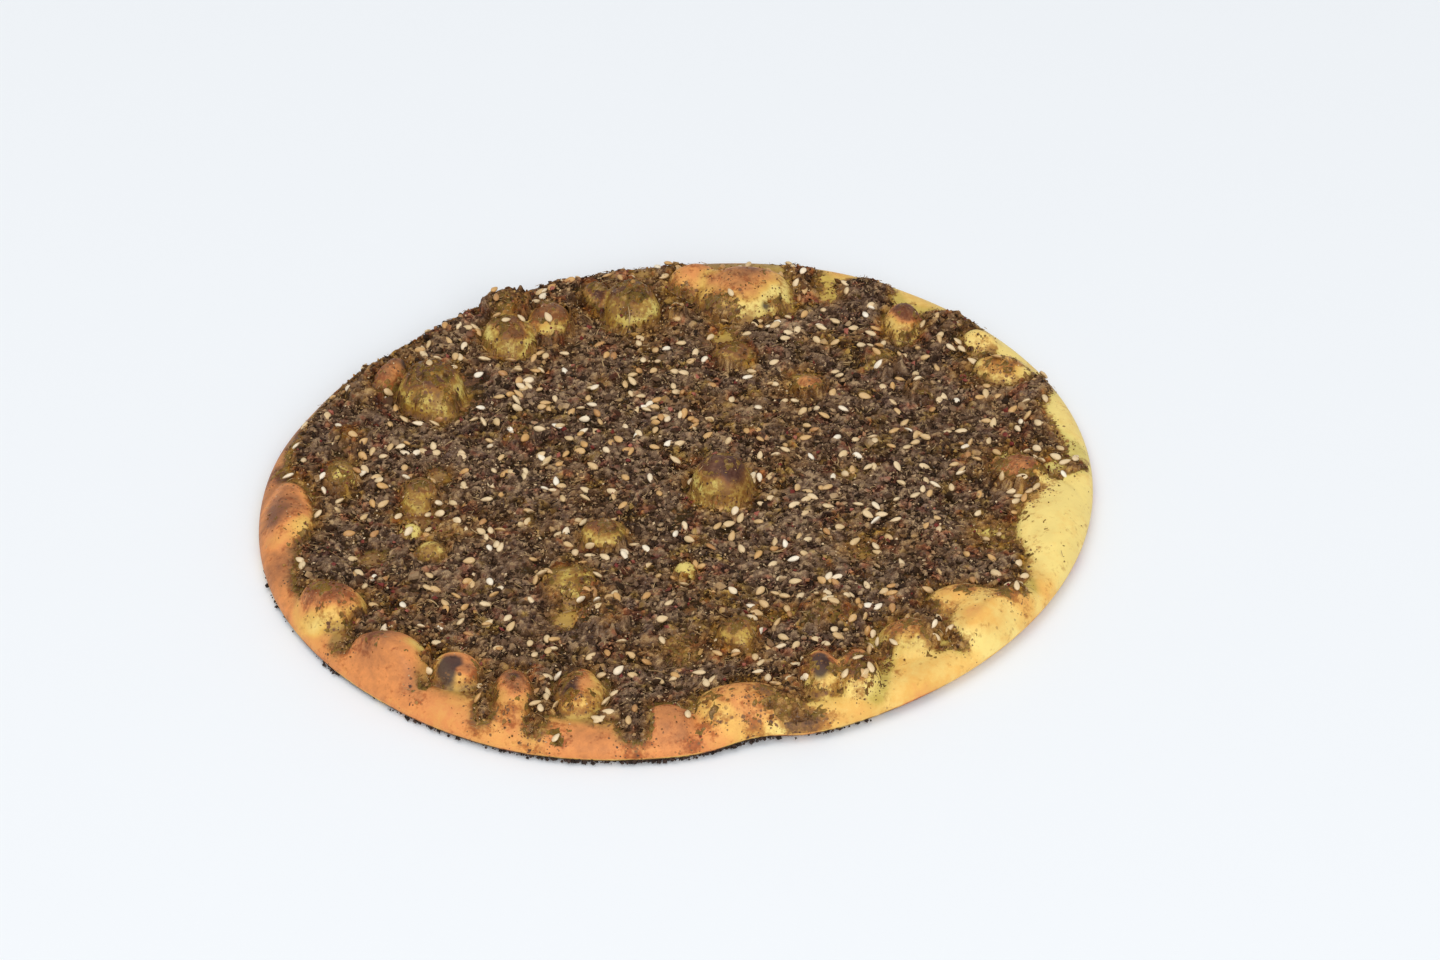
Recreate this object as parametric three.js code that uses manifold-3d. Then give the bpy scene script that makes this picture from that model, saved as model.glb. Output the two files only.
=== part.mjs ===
// Zaatar manakish: a thin round flatbread under a rough coat of zaatar paste and sesame seeds.
// Millimetres, +Z up. The origin is the middle of the bread's footprint, on the surface it lies on.
// The front of the bread is towards -Y. Angles are in degrees, anticlockwise from +X.

import * as THREE from 'three';
import { ConvexHull } from 'three/addons/math/ConvexHull.js';
import { mergeVertices } from 'three/addons/utils/BufferGeometryUtils.js';
import Module from 'manifold-3d';

// ---------------------------------------------------------------- driving dimensions

// The outline from above is an ellipse with a few swells and dents in it.
const LONG_RADIUS = 106.1;
const SHORT_RADIUS = 95.9;
const OUTLINE_TURN = 25;
const OUTLINE_SWELLS = [
  { at: 68, spread: 20, out: 2.0 },
  { at: 105, spread: 35, out: -1.0 },
  { at: 140, spread: 13, out: -2.6 },
  { at: 161, spread: 8, out: -0.9 },
  { at: 250, spread: 18, out: 2.3 },
  { at: 281.5, spread: 6, out: -2.6 },
  { at: 317, spread: 24, out: 0.5 },
];

// The section from the edge inwards: a rounded rim that sinks towards the middle.
const EDGE_HEIGHT = 1.6;
const EDGE_UNDERCUT = 1.4;
const RIM_HEIGHT = 6.0;
const RIM_WIDTH = 7.0;
const RIM_FADE = 18.0;
const MIDDLE_HEIGHT = 4.3;

// The rim curls up a little off the surface outside the flat foot, most of all at the right front.
const FOOT_INSET = 9.0;
const RIM_LIFT = 0.5;
const RIM_CURLS = [
  { at: 325, spread: 35, out: 0.8 },
  { at: 283, spread: 7, out: 0.5 },
  { at: 100, spread: 40, out: 0.6 },
];

// Long low waves in the dough.
const WAVES = [
  { height: 0.45, along: [1 / 13, 0], across: [0, 1 / 11], start: [1.1, 0.97] },
  { height: 0.3, along: [1 / 7.3, 1 / 7.3], across: [1 / 8.9, -1 / 8.9], start: [2, 0] },
];

// Air bubbles: centre, radii, height over the dough, and how far out of its radius each is bare
// of zaatar (0 is covered). A turn is that of its first radius.
const BUBBLES = [
  // back left
  { x: -64, y: 37, rx: 9, ry: 10, height: 10, bare: 1 },
  { x: -75, y: 43, rx: 4, ry: 7, height: 5, bare: 0.9, turn: -20 },
  { x: -81, y: 36, rx: 5, ry: 5, height: 3, bare: 0 },
  { x: -45, y: 61, rx: 7, ry: 7.5, height: 7, bare: 1 },
  { x: -46, y: 73, rx: 7, ry: 7, height: 6, bare: 0 },
  { x: -35, y: 67, rx: 6, ry: 8, height: 7, bare: 0.9 },
  { x: -41, y: 19, rx: 4.5, ry: 4.5, height: 3.5, bare: 0 },
  // back
  { x: -22.5, y: 79, rx: 4.5, ry: 6, height: 5, bare: 0.9 },
  { x: -13, y: 75, rx: 7.5, ry: 9.5, height: 8, bare: 1 },
  { x: -1, y: 72, rx: 3, ry: 3, height: 3, bare: 0 },
  { x: 4, y: 86, rx: 7, ry: 6, height: 5, bare: 1 },
  { x: 17, y: 80, rx: 13, ry: 11, height: 7, bare: 1 },
  { x: 14.5, y: 54, rx: 6, ry: 6, height: 4, bare: 0.7 },
  { x: 33, y: 40, rx: 5, ry: 5.5, height: 4, bare: 0.6 },
  // back right
  { x: 58.5, y: 68, rx: 5, ry: 6.5, height: 6, bare: 1 },
  { x: 52, y: 50, rx: 6, ry: 6, height: 4, bare: 0 },
  { x: 63, y: 38, rx: 5, ry: 5, height: 3, bare: 0 },
  { x: 79, y: 58, rx: 5, ry: 4.5, height: 3, bare: 1 },
  { x: 84, y: 47, rx: 8, ry: 6, height: 3.5, bare: 1 },
  { x: 85, y: 3, rx: 8, ry: 7.5, height: 5, bare: 0.6 },
  { x: 93, y: -18, rx: 9, ry: 20, height: 2.2, bare: 1 },
  // front right
  { x: 77, y: -53.5, rx: 14, ry: 9.5, height: 5, bare: 1.05, turn: 35 },
  { x: 68.5, y: -46.5, rx: 8.5, ry: 6.5, height: 4, bare: 1 },
  { x: 56, y: -60, rx: 8, ry: 7, height: 5, bare: 1, turn: 20 },
  { x: 43, y: -74, rx: 5.5, ry: 8, height: 6, bare: 1 },
  { x: 34.5, y: -74, rx: 5, ry: 8, height: 6, bare: 1 },
  { x: 37, y: -50, rx: 8, ry: 7, height: 3.5, bare: 0 },
  { x: 17, y: -86, rx: 13, ry: 8.5, height: 4.5, bare: 1 },
  { x: 15, y: -59, rx: 5.5, ry: 6, height: 5, bare: 0.9 },
  // middle
  { x: 11, y: -2, rx: 7.8, ry: 8, height: 10.5, bare: 1 },
  { x: 2, y: -34.5, rx: 3, ry: 3.5, height: 3, bare: 0 },
  { x: -18, y: -22, rx: 6.5, ry: 6, height: 6, bare: 0.9 },
  { x: -26, y: -40, rx: 8, ry: 8, height: 4, bare: 0.5 },
  { x: -18, y: -53, rx: 7, ry: 6, height: 3.5, bare: 0 },
  // front left
  { x: -2, y: -91, rx: 6.5, ry: 6, height: 3, bare: 1 },
  { x: -23, y: -80, rx: 6, ry: 9, height: 5, bare: 1.05 },
  { x: -38, y: -81, rx: 5, ry: 9, height: 5, bare: 1 },
  { x: -52, y: -73, rx: 6.2, ry: 6.5, height: 5.5, bare: 1 },
  { x: -68, y: -69.5, rx: 11, ry: 9.5, height: 7, bare: 1, turn: -25 },
  { x: -83, y: -50, rx: 9, ry: 8, height: 7, bare: 1 },
  // left
  { x: -97, y: -14, rx: 7, ry: 13, height: 3.5, bare: 1 },
  { x: -85, y: 2, rx: 5, ry: 7, height: 3.5, bare: 0.6 },
  { x: -83, y: 17, rx: 5, ry: 5, height: 3, bare: 0 },
  { x: -64.5, y: -5, rx: 5.5, ry: 6.5, height: 4, bare: 0.8 },
  { x: -66.5, y: -19, rx: 3, ry: 3, height: 2.5, bare: 0 },
  { x: -60, y: -27, rx: 4, ry: 4, height: 3, bare: 0.8 },
];
const BUBBLE_ROUNDNESS = 0.55;
const BUBBLE_JOIN = 3;

// The bare margin between the outline and the zaatar: its usual width, and where it differs.
const MARGIN = 4.5;
const MARGIN_LEAST = 1.7;
const MARGIN_CHANGES = [
  { at: 352, spread: 13, out: 10 },
  { at: 5, spread: 4, out: -9 },
  { at: 17, spread: 6, out: 3.5 },
  { at: 23.5, spread: 3.5, out: -5 },
  { at: 31, spread: 4, out: 5 },
  { at: 44, spread: 5, out: -4 },
  { at: 49.5, spread: 5, out: 4 },
  { at: 59, spread: 3.5, out: -4 },
  { at: 64.5, spread: 3, out: 3 },
  { at: 72, spread: 4, out: -4 },
  { at: 128, spread: 38, out: -5 },
  { at: 188, spread: 8, out: 6 },
  { at: 198, spread: 4, out: 2.5 },
  { at: 246, spread: 20, out: 5.5 },
  { at: 275, spread: 10, out: 6 },
  { at: 309, spread: 5, out: 5 },
  { at: 315, spread: 22, out: 5 },
];

// Tongues of zaatar that run out over the bare rim, from and to the middle of their round ends.
const TONGUES = [
  { from: [-84, -36], to: [-91, -41], half: 2.4 },
  { from: [-72, -54], to: [-79, -62], half: 3.2 },
  { from: [-58.5, -62], to: [-59, -77], half: 1.8 },
  { from: [-44.3, -74], to: [-45, -88.7], half: 2.2 },
  { from: [-30.7, -76], to: [-32.3, -92.7], half: 2.4 },
  { from: [-11, -78], to: [-9.5, -92.5], half: 4.2 },
  { from: [27, -71], to: [27, -81.5], half: 4.5 },
  { from: [49.5, -64], to: [46.5, -80], half: 2.3 },
  { from: [59, -50], to: [62, -61.5], half: 3.9 },
  { from: [62.5, -58], to: [67.5, -64], half: 1.5 },
  { from: [80, -32], to: [82.5, -43], half: 4.0 },
];

// The coat of zaatar, its clearance over the dough and the lumps in it.
const COAT_THICKNESS = 1.3;
const COAT_EDGE_THICKNESS = 0.8;
const COAT_CLEARANCE = 0.3;
const COAT_LUMPS = 0.45;
const CLEARANCE_SLOPE_LIMIT = 2.5;

// Sesame seeds, half sunk in the coat.
const SEED_LENGTH = 3.2;
const SEED_WIDTH = 2.0;
const SEED_THICKNESS = 1.0;
const SEED_SPREAD = 0.12;
const SEED_PROUD = 0.2;
const SEED_TILT = 16;
const SEED_COUNT = 134;
const SEED_SPACING = 9;
const SEED_EDGE_ROOM = 2.4;
const SEED_SIDES = 5;
const SEED_RINGS = 3;

// How finely the surfaces are divided.
const RIM_STEPS = 100;
const RIM_RINGS = [0, 1.4, 4.4];
const FLAT_SPACING = 6.0;
const CLOSEST_POINTS = 1.7;
const TALL_BUBBLE = 4.5;
const TALL_RINGS = [
  { at: 0.42, points: 5 },
  { at: 0.8, points: 8 },
  { at: 1.14, points: 10 },
];
const LOW_RINGS = [
  { at: 0.6, points: 6 },
  { at: 1.12, points: 7 },
];
const FILL_TRIES = 30000;
const LEAST_REACH = 0.2;

// Where the random draws start: for the surface's points, the coat's lumps and the seeds.
const POINT_DRAW = 11;
const LUMP_DRAW = 29;
const SEED_DRAW = 47;

const CRUST_COLOUR = 0xd9a45c;
const CRUST_ROUGHNESS = 0.62;
const ZAATAR_COLOUR = 0x4a3a2a;
const ZAATAR_ROUGHNESS = 0.78;

// ---------------------------------------------------------------- small helpers

const DEGREE = Math.PI / 180;
const FULL_TURN = 360;
const MERGE_DISTANCE = 1e-4;

// A repeatable random number from 0 to 1.
function seededRandom(seed) {
  const multiplier = 1664525;
  const increment = 1013904223;
  const range = 2 ** 32;
  let state = seed;
  return () => {
    state = (Math.imul(state, multiplier) + increment) >>> 0;
    return state / range;
  };
}

function smoothStep(t) {
  const held = Math.min(Math.max(t, 0), 1);
  return held * held * (3 - 2 * held);
}

// The sum of bell-shaped changes round the outline.
function changesAt(changes, angle) {
  let total = 0;
  for (const { at, spread, out } of changes) {
    const away = ((angle - at + 1.5 * FULL_TURN) % FULL_TURN) - FULL_TURN / 2;
    total += out * Math.exp(-((away / spread) ** 2));
  }
  return total;
}

// ---------------------------------------------------------------- the bread's shape

function outlineRadius(angle) {
  const turned = (angle - OUTLINE_TURN) * DEGREE;
  const ellipse = 1 / Math.hypot(Math.cos(turned) / LONG_RADIUS, Math.sin(turned) / SHORT_RADIUS);
  return ellipse + changesAt(OUTLINE_SWELLS, angle);
}

function polar(x, y) {
  const angle = (Math.atan2(y, x) / DEGREE + FULL_TURN) % FULL_TURN;
  return { angle, inset: outlineRadius(angle) - Math.hypot(x, y) };
}

function outlinePoint(angle, inset) {
  const radius = outlineRadius(angle) - inset;
  return new THREE.Vector2(radius * Math.cos(angle * DEGREE), radius * Math.sin(angle * DEGREE));
}

// How far out a point is in a bubble, where 1 is its foot.
function reachInBubble({ x, y, rx, ry, turn = 0 }, px, py) {
  const place = new THREE.Vector2(px - x, py - y).rotateAround(new THREE.Vector2(), -turn * DEGREE);
  return Math.hypot(place.x / rx, place.y / ry);
}

function bubbleHeight(x, y) {
  let total = 0;
  for (const bubble of BUBBLES) {
    const reach = reachInBubble(bubble, x, y);
    if (reach < 1) {
      total += (bubble.height * (1 - reach * reach) ** BUBBLE_ROUNDNESS) ** BUBBLE_JOIN;
    }
  }
  return total ** (1 / BUBBLE_JOIN);
}

function waveHeight(x, y) {
  let total = 0;
  for (const { height, along, across, start } of WAVES) {
    const first = Math.sin(along[0] * x + along[1] * y + start[0]);
    const second = Math.sin(across[0] * x + across[1] * y + start[1]);
    total += height * first * second;
  }
  return total;
}

function rimLift(angle) {
  return RIM_LIFT + changesAt(RIM_CURLS, angle);
}

function breadTop(x, y) {
  const { angle, inset } = polar(x, y);
  const fromCrest = Math.min(Math.max(1 - inset / RIM_WIDTH, 0), 1);
  const rounded = EDGE_HEIGHT + (RIM_HEIGHT - EDGE_HEIGHT) * Math.sqrt(1 - fromCrest * fromCrest);
  const sunk = (RIM_HEIGHT - MIDDLE_HEIGHT) * smoothStep((inset - RIM_WIDTH) / RIM_FADE);
  const lifted = rimLift(angle) * (1 - smoothStep(inset / FOOT_INSET));
  const inside = smoothStep(inset / RIM_WIDTH);
  return rounded - sunk + lifted + inside * (bubbleHeight(x, y) + waveHeight(x, y));
}

// ---------------------------------------------------------------- where the zaatar lies

function distanceToSegment(x, y, from, to) {
  const run = [to[0] - from[0], to[1] - from[1]];
  const share = ((x - from[0]) * run[0] + (y - from[1]) * run[1]) / (run[0] ** 2 + run[1] ** 2);
  const held = Math.min(Math.max(share, 0), 1);
  return Math.hypot(x - from[0] - held * run[0], y - from[1] - held * run[1]);
}

// About how far a point is inside the zaatar's edge, in millimetres, and negative outside it.
function zaatarReach(x, y) {
  const { angle, inset } = polar(x, y);
  const margin = Math.max(MARGIN + changesAt(MARGIN_CHANGES, angle), MARGIN_LEAST);
  let reach = inset - margin;
  for (const bubble of BUBBLES) {
    if (bubble.bare > 0) {
      const outside = reachInBubble(bubble, x, y) - bubble.bare;
      reach = Math.min(reach, outside * Math.min(bubble.rx, bubble.ry));
    }
  }
  for (const { from, to, half } of TONGUES) {
    reach = Math.max(reach, half - distanceToSegment(x, y, from, to));
  }
  return Math.min(reach, inset - MARGIN_LEAST);
}

// ---------------------------------------------------------------- the points of the top surface

function farFromAll(point, points, room) {
  return points.every((other) => other.distanceToSquared(point) > room * room);
}

function rimPoints() {
  const points = [];
  RIM_RINGS.forEach((inset, ring) => {
    for (let i = 0; i < RIM_STEPS; i += 1) {
      points.push(outlinePoint(((i + (ring % 2) / 2) * FULL_TURN) / RIM_STEPS, inset));
    }
  });
  return points;
}

function bubblePoints(bubble) {
  const points = [new THREE.Vector2(bubble.x, bubble.y)];
  const rings = bubble.height > TALL_BUBBLE ? TALL_RINGS : LOW_RINGS;
  rings.forEach(({ at, points: count }, ring) => {
    for (let i = 0; i < count; i += 1) {
      const angle = ((i + ring / 2) * FULL_TURN * DEGREE) / count;
      const place = new THREE.Vector2(at * bubble.rx * Math.cos(angle), at * bubble.ry * Math.sin(angle));
      place.rotateAround(new THREE.Vector2(), (bubble.turn ?? 0) * DEGREE);
      points.push(place.add(new THREE.Vector2(bubble.x, bubble.y)));
    }
  });
  return points;
}

function surfacePoints() {
  const random = seededRandom(POINT_DRAW);
  const points = rimPoints();
  const innerRing = RIM_RINGS[RIM_RINGS.length - 1];
  const tallestFirst = [...BUBBLES].sort((one, other) => other.height - one.height);
  for (const point of tallestFirst.flatMap(bubblePoints)) {
    const roomy = farFromAll(point, points, CLOSEST_POINTS);
    if (roomy && polar(point.x, point.y).inset > innerRing + CLOSEST_POINTS) {
      points.push(point);
    }
  }
  for (let i = 0; i < FILL_TRIES; i += 1) {
    const point = new THREE.Vector2((2 * random() - 1) * LONG_RADIUS, (2 * random() - 1) * LONG_RADIUS);
    const inside = polar(point.x, point.y).inset > innerRing + CLOSEST_POINTS;
    if (inside && farFromAll(point, points, FLAT_SPACING)) {
      points.push(point);
    }
  }
  return points;
}

// Delaunay triangles, anticlockwise from above: the lower hull of the points lifted to a paraboloid.
function triangulated(points) {
  const lifted = points.map(({ x, y }) => new THREE.Vector3(x, y, (x * x + y * y) / LONG_RADIUS));
  const indexOf = new Map(lifted.map((point, index) => [point, index]));
  const hull = new ConvexHull().setFromPoints(lifted);
  const triangles = [];
  for (const face of hull.faces) {
    const corners = [face.getEdge(0), face.getEdge(1), face.getEdge(2)];
    const [a, b, c] = corners.map((edge) => indexOf.get(edge.head().point));
    const allOnOutline = a < RIM_STEPS && b < RIM_STEPS && c < RIM_STEPS;
    if (face.normal.z < 0 && !allOnOutline) {
      triangles.push([a, c, b]);
    }
  }
  return triangles;
}

// ---------------------------------------------------------------- solids from triangles

function geometryOf(vertices, triangles) {
  const geometry = new THREE.BufferGeometry();
  geometry.setAttribute('position', new THREE.Float32BufferAttribute(vertices.flat(), 3));
  geometry.setIndex(triangles.flat());
  return geometry;
}

function solidOf(geometry, wasm) {
  const bare = geometry.clone();
  bare.deleteAttribute('normal');
  bare.deleteAttribute('uv');
  const merged = mergeVertices(bare, MERGE_DISTANCE);
  return new wasm.Manifold(new wasm.Mesh({
    numProp: 3,
    vertProperties: new Float32Array(merged.attributes.position.array),
    triVerts: new Uint32Array(merged.index.array),
  }));
}

function geometryOfSolid(solid) {
  const mesh = solid.getMesh();
  const geometry = new THREE.BufferGeometry();
  geometry.setAttribute('position', new THREE.BufferAttribute(new Float32Array(mesh.vertProperties), 3));
  geometry.setIndex(new THREE.BufferAttribute(new Uint32Array(mesh.triVerts), 1));
  geometry.computeVertexNormals();
  return geometry;
}

// Two triangles for each step between two closed rings of like length.
function bandBetween(ring, nextRing) {
  return ring.flatMap((a, i) => {
    const b = ring[(i + 1) % ring.length];
    const c = nextRing[(i + 1) % ring.length];
    const d = nextRing[i];
    return [[a, b, c], [a, c, d]];
  });
}

// ---------------------------------------------------------------- the bread

function breadGeometry(points, triangles) {
  const vertices = points.map(({ x, y }) => [x, y, breadTop(x, y)]);
  const outline = Array.from({ length: RIM_STEPS }, (_, i) => i);
  const ringBelow = (inset, heightAt) => outline.map((i) => {
    const angle = (i * FULL_TURN) / RIM_STEPS;
    const { x, y } = outlinePoint(angle, inset);
    return vertices.push([x, y, heightAt(angle)]) - 1;
  });
  const curl = ringBelow(EDGE_UNDERCUT, rimLift);
  const foot = ringBelow(FOOT_INSET, () => 0);
  const footOutline = foot.map((i) => new THREE.Vector2(vertices[i][0], vertices[i][1]));
  const footTriangles = THREE.ShapeUtils.triangulateShape(footOutline, []);
  const underside = footTriangles.map(([a, b, c]) => [foot[a], foot[c], foot[b]]);
  return geometryOf(vertices, [
    ...triangles,
    ...bandBetween(curl, outline),
    ...bandBetween(foot, curl),
    ...underside,
  ]);
}

// ---------------------------------------------------------------- the coat of zaatar

function edgeKey(a, b) {
  return a < b ? `${a} ${b}` : `${b} ${a}`;
}

// The directed edges that only one triangle has.
function openEdges(triangles) {
  const uses = new Map();
  for (const [a, b, c] of triangles) {
    for (const [from, to] of [[a, b], [b, c], [c, a]]) {
      const key = edgeKey(from, to);
      uses.set(key, uses.has(key) ? null : [from, to]);
    }
  }
  return [...uses.values()].filter((edge) => edge !== null);
}

// The largest set of triangles that hang together by their edges.
function largestPatch(triangles) {
  const atEdge = new Map();
  triangles.forEach(([a, b, c], index) => {
    for (const key of [edgeKey(a, b), edgeKey(b, c), edgeKey(c, a)]) {
      atEdge.set(key, [...(atEdge.get(key) ?? []), index]);
    }
  });
  const seen = new Set();
  let largest = [];
  for (let start = 0; start < triangles.length; start += 1) {
    const patch = [];
    const waiting = seen.has(start) ? [] : [start];
    while (waiting.length > 0) {
      const index = waiting.pop();
      if (!seen.has(index)) {
        seen.add(index);
        patch.push(triangles[index]);
        const [a, b, c] = triangles[index];
        waiting.push(...atEdge.get(edgeKey(a, b)), ...atEdge.get(edgeKey(b, c)), ...atEdge.get(edgeKey(c, a)));
      }
    }
    largest = patch.length > largest.length ? patch : largest;
  }
  return largest;
}

// The clearance is measured square to the dough, so it is taller where the dough is steep.
function clearanceAt({ x, y }) {
  const step = 0.5;
  const slopeX = (breadTop(x + step, y) - breadTop(x - step, y)) / (2 * step);
  const slopeY = (breadTop(x, y + step) - breadTop(x, y - step)) / (2 * step);
  return COAT_CLEARANCE * Math.min(Math.hypot(1, slopeX, slopeY), CLEARANCE_SLOPE_LIMIT);
}

// The triangles under the zaatar, where those at its edge are cut along it. A cut's vertex lies
// between the two lower vertices that it parts.
function coveredPatch(points, triangles, lower) {
  const reaches = points.map(({ x, y }) => {
    const reach = zaatarReach(x, y);
    return Math.abs(reach) < LEAST_REACH ? -LEAST_REACH : reach;
  });
  const cuts = new Map();
  const cutBetween = (one, other) => {
    const key = edgeKey(one, other);
    if (!cuts.has(key)) {
      const share = reaches[one] / (reaches[one] - reaches[other]);
      const vertex = lower[one].map((value, axis) => value + share * (lower[other][axis] - value));
      cuts.set(key, lower.push(vertex) - 1);
    }
    return cuts.get(key);
  };
  const patch = triangles.flatMap((triangle) => {
    const inside = triangle.map((index) => reaches[index] > 0);
    const count = inside.filter(Boolean).length;
    if (count === 0 || count === 3) {
      return count === 3 ? [triangle] : [];
    }
    const loneAt = inside.indexOf(count === 1);
    const [lone, next, last] = [0, 1, 2].map((step) => triangle[(loneAt + step) % 3]);
    const nextCut = cutBetween(lone, next);
    const lastCut = cutBetween(lone, last);
    return count === 1 ? [[lone, nextCut, lastCut]] : [[nextCut, next, last], [nextCut, last, lastCut]];
  });
  return largestPatch(patch);
}

function coatSurfaces(points, triangles) {
  const random = seededRandom(LUMP_DRAW);
  const lower = points.map((point) => [point.x, point.y, breadTop(point.x, point.y) + clearanceAt(point)]);
  const patch = coveredPatch(points, triangles, lower);
  const edges = openEdges(patch);
  const onEdge = new Set(edges.flat());
  const upper = lower.map(([x, y, z], index) => {
    const lump = (2 * random() - 1) * COAT_LUMPS;
    return [x, y, z + (onEdge.has(index) ? COAT_EDGE_THICKNESS : COAT_THICKNESS + lump)];
  });
  return { patch, edges, lower, upper };
}

function coatGeometry({ patch, edges, lower, upper }) {
  const shift = lower.length;
  const top = patch.map(([a, b, c]) => [a + shift, b + shift, c + shift]);
  const bottom = patch.map(([a, b, c]) => [a, c, b]);
  const walls = edges.flatMap(([a, b]) => [[a, b, b + shift], [a, b + shift, a + shift]]);
  return geometryOf([...lower, ...upper], [...bottom, ...top, ...walls]);
}

// ---------------------------------------------------------------- sesame seeds

// The place on the coat above a point, with the direction square to it.
function placeOnCoat({ patch, upper }, point) {
  const at = new THREE.Vector3(point.x, point.y, 0);
  for (const corners of patch) {
    const [a, b, c] = corners.map((index) => new THREE.Vector3(...upper[index]));
    const flat = [a, b, c].map(({ x, y }) => new THREE.Vector3(x, y, 0));
    const shares = THREE.Triangle.getBarycoord(at, ...flat, new THREE.Vector3());
    if (shares && Math.min(shares.x, shares.y, shares.z) >= 0) {
      const height = shares.x * a.z + shares.y * b.z + shares.z * c.z;
      const normal = new THREE.Triangle(a, b, c).getNormal(new THREE.Vector3());
      return { position: new THREE.Vector3(point.x, point.y, height), normal };
    }
  }
  return null;
}

function seedGeometry(place, random) {
  const size = () => 1 + (2 * random() - 1) * SEED_SPREAD;
  const geometry = new THREE.SphereGeometry(0.5, SEED_SIDES, SEED_RINGS);
  geometry.rotateZ(90 * DEGREE);
  geometry.scale(SEED_LENGTH * size(), SEED_WIDTH * size(), SEED_THICKNESS * size());
  geometry.rotateY((2 * random() - 1) * SEED_TILT * DEGREE);
  geometry.rotateZ(random() * FULL_TURN * DEGREE);
  const upright = new THREE.Vector3(0, 0, 1);
  geometry.applyQuaternion(new THREE.Quaternion().setFromUnitVectors(upright, place.normal));
  const centre = place.position.clone().addScaledVector(place.normal, SEED_PROUD);
  geometry.translate(centre.x, centre.y, centre.z);
  return geometry;
}

function seedGeometries(coat) {
  const random = seededRandom(SEED_DRAW);
  const spots = [];
  const seeds = [];
  while (seeds.length < SEED_COUNT) {
    const point = new THREE.Vector2((2 * random() - 1) * LONG_RADIUS, (2 * random() - 1) * LONG_RADIUS);
    if (zaatarReach(point.x, point.y) > SEED_EDGE_ROOM && farFromAll(point, spots, SEED_SPACING)) {
      const place = placeOnCoat(coat, point);
      if (place !== null) {
        spots.push(point);
        seeds.push(seedGeometry(place, random));
      }
    }
  }
  return seeds;
}

function zaatarGeometry(coat, wasm) {
  let solid = solidOf(coatGeometry(coat), wasm);
  for (const seed of seedGeometries(coat)) {
    solid = solid.add(solidOf(seed, wasm));
  }
  return geometryOfSolid(solid);
}

// ---------------------------------------------------------------- the manakish

// A mesh of flat-sided facets, moved so that the outline's box is centred on the origin.
function namedMesh(name, geometry, colour, roughness, shift) {
  const material = new THREE.MeshStandardMaterial({ color: colour, roughness, metalness: 0, flatShading: true });
  const mesh = new THREE.Mesh(geometry, material);
  mesh.name = name;
  mesh.position.set(shift.x, shift.y, 0);
  return mesh;
}

const wasm = await Module();
wasm.setup();

const points = surfacePoints();
const triangles = triangulated(points);
const outlineBox = new THREE.Box2().setFromPoints(points.slice(0, RIM_STEPS));
const toOrigin = outlineBox.getCenter(new THREE.Vector2()).negate();
const bread = breadGeometry(points, triangles);
const zaatar = zaatarGeometry(coatSurfaces(points, triangles), wasm);

const manakish = new THREE.Group();
manakish.add(namedMesh('bread', bread, CRUST_COLOUR, CRUST_ROUGHNESS, toOrigin));
manakish.add(namedMesh('zaatar', zaatar, ZAATAR_COLOUR, ZAATAR_ROUGHNESS, toOrigin));

export default manakish;
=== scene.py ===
"""The looks of a zaatar manakish: a thin flatbread with browned bubbles, zaatar paste and sesame.

The bread, the coat of paste and what is scattered on them are meshes worked out here from named
sizes in millimetres. Sizes and places are in the plan frame, whose origin is the middle of the
ellipse that the outline starts from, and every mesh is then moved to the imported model's frame.
The front of the bread is towards -Y. Angles are in degrees, anticlockwise from +X.
"""

import itertools
import math
from collections import namedtuple

import bpy
import numpy as np
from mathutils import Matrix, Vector


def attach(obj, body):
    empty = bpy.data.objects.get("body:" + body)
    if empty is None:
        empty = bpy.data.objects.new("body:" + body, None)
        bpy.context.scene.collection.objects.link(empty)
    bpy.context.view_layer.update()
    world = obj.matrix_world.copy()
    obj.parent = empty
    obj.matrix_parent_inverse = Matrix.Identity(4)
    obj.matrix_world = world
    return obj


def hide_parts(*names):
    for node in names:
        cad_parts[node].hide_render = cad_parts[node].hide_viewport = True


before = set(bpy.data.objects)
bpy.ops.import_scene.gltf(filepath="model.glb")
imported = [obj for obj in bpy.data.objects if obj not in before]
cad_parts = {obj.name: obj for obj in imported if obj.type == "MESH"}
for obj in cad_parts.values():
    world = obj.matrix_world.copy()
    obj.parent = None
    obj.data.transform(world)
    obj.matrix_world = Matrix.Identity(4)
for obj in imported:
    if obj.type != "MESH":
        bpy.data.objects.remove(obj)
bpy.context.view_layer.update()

MM = 0.001


def table(kind, *rows):
    """A list of named values from rows of plain ones."""
    return [kind(*row) for row in rows]


# Smooth noise: how much it adds, how wide its blotches are, where its random draws start and how
# many finer layers it has.
Unevenness = namedtuple("Unevenness", "amount scale draw layers", defaults=[3])

# ---------------------------------------------------------------- the bread's sizes

LONG_RADIUS = 106.1
SHORT_RADIUS = 95.9
OUTLINE_TURN = 25
OUTLINE_STEPS = 100

# A change round the outline: where its middle is, how wide it is and how much it adds there.
Change = namedtuple("Change", "at spread out")
OUTLINE_SWELLS = table(
    Change,
    (68, 20, 2.0), (105, 35, -1.0), (140, 13, -2.6), (161, 8, -0.9), (250, 18, 2.3),
    (281.5, 6, -2.6), (317, 24, 0.5),
)

EDGE_HEIGHT = 1.6
EDGE_UNDERCUT = 1.4
RIM_HEIGHT = 6.0
RIM_WIDTH = 7.0
RIM_FADE = 18.0
MIDDLE_HEIGHT = 4.3
FOOT_INSET = 9.0
RIM_LIFT = 0.5
RIM_CURLS = table(
    Change,
    (325, 35, 0.8), (283, 7, 0.5), (100, 40, 0.6),
)

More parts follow.
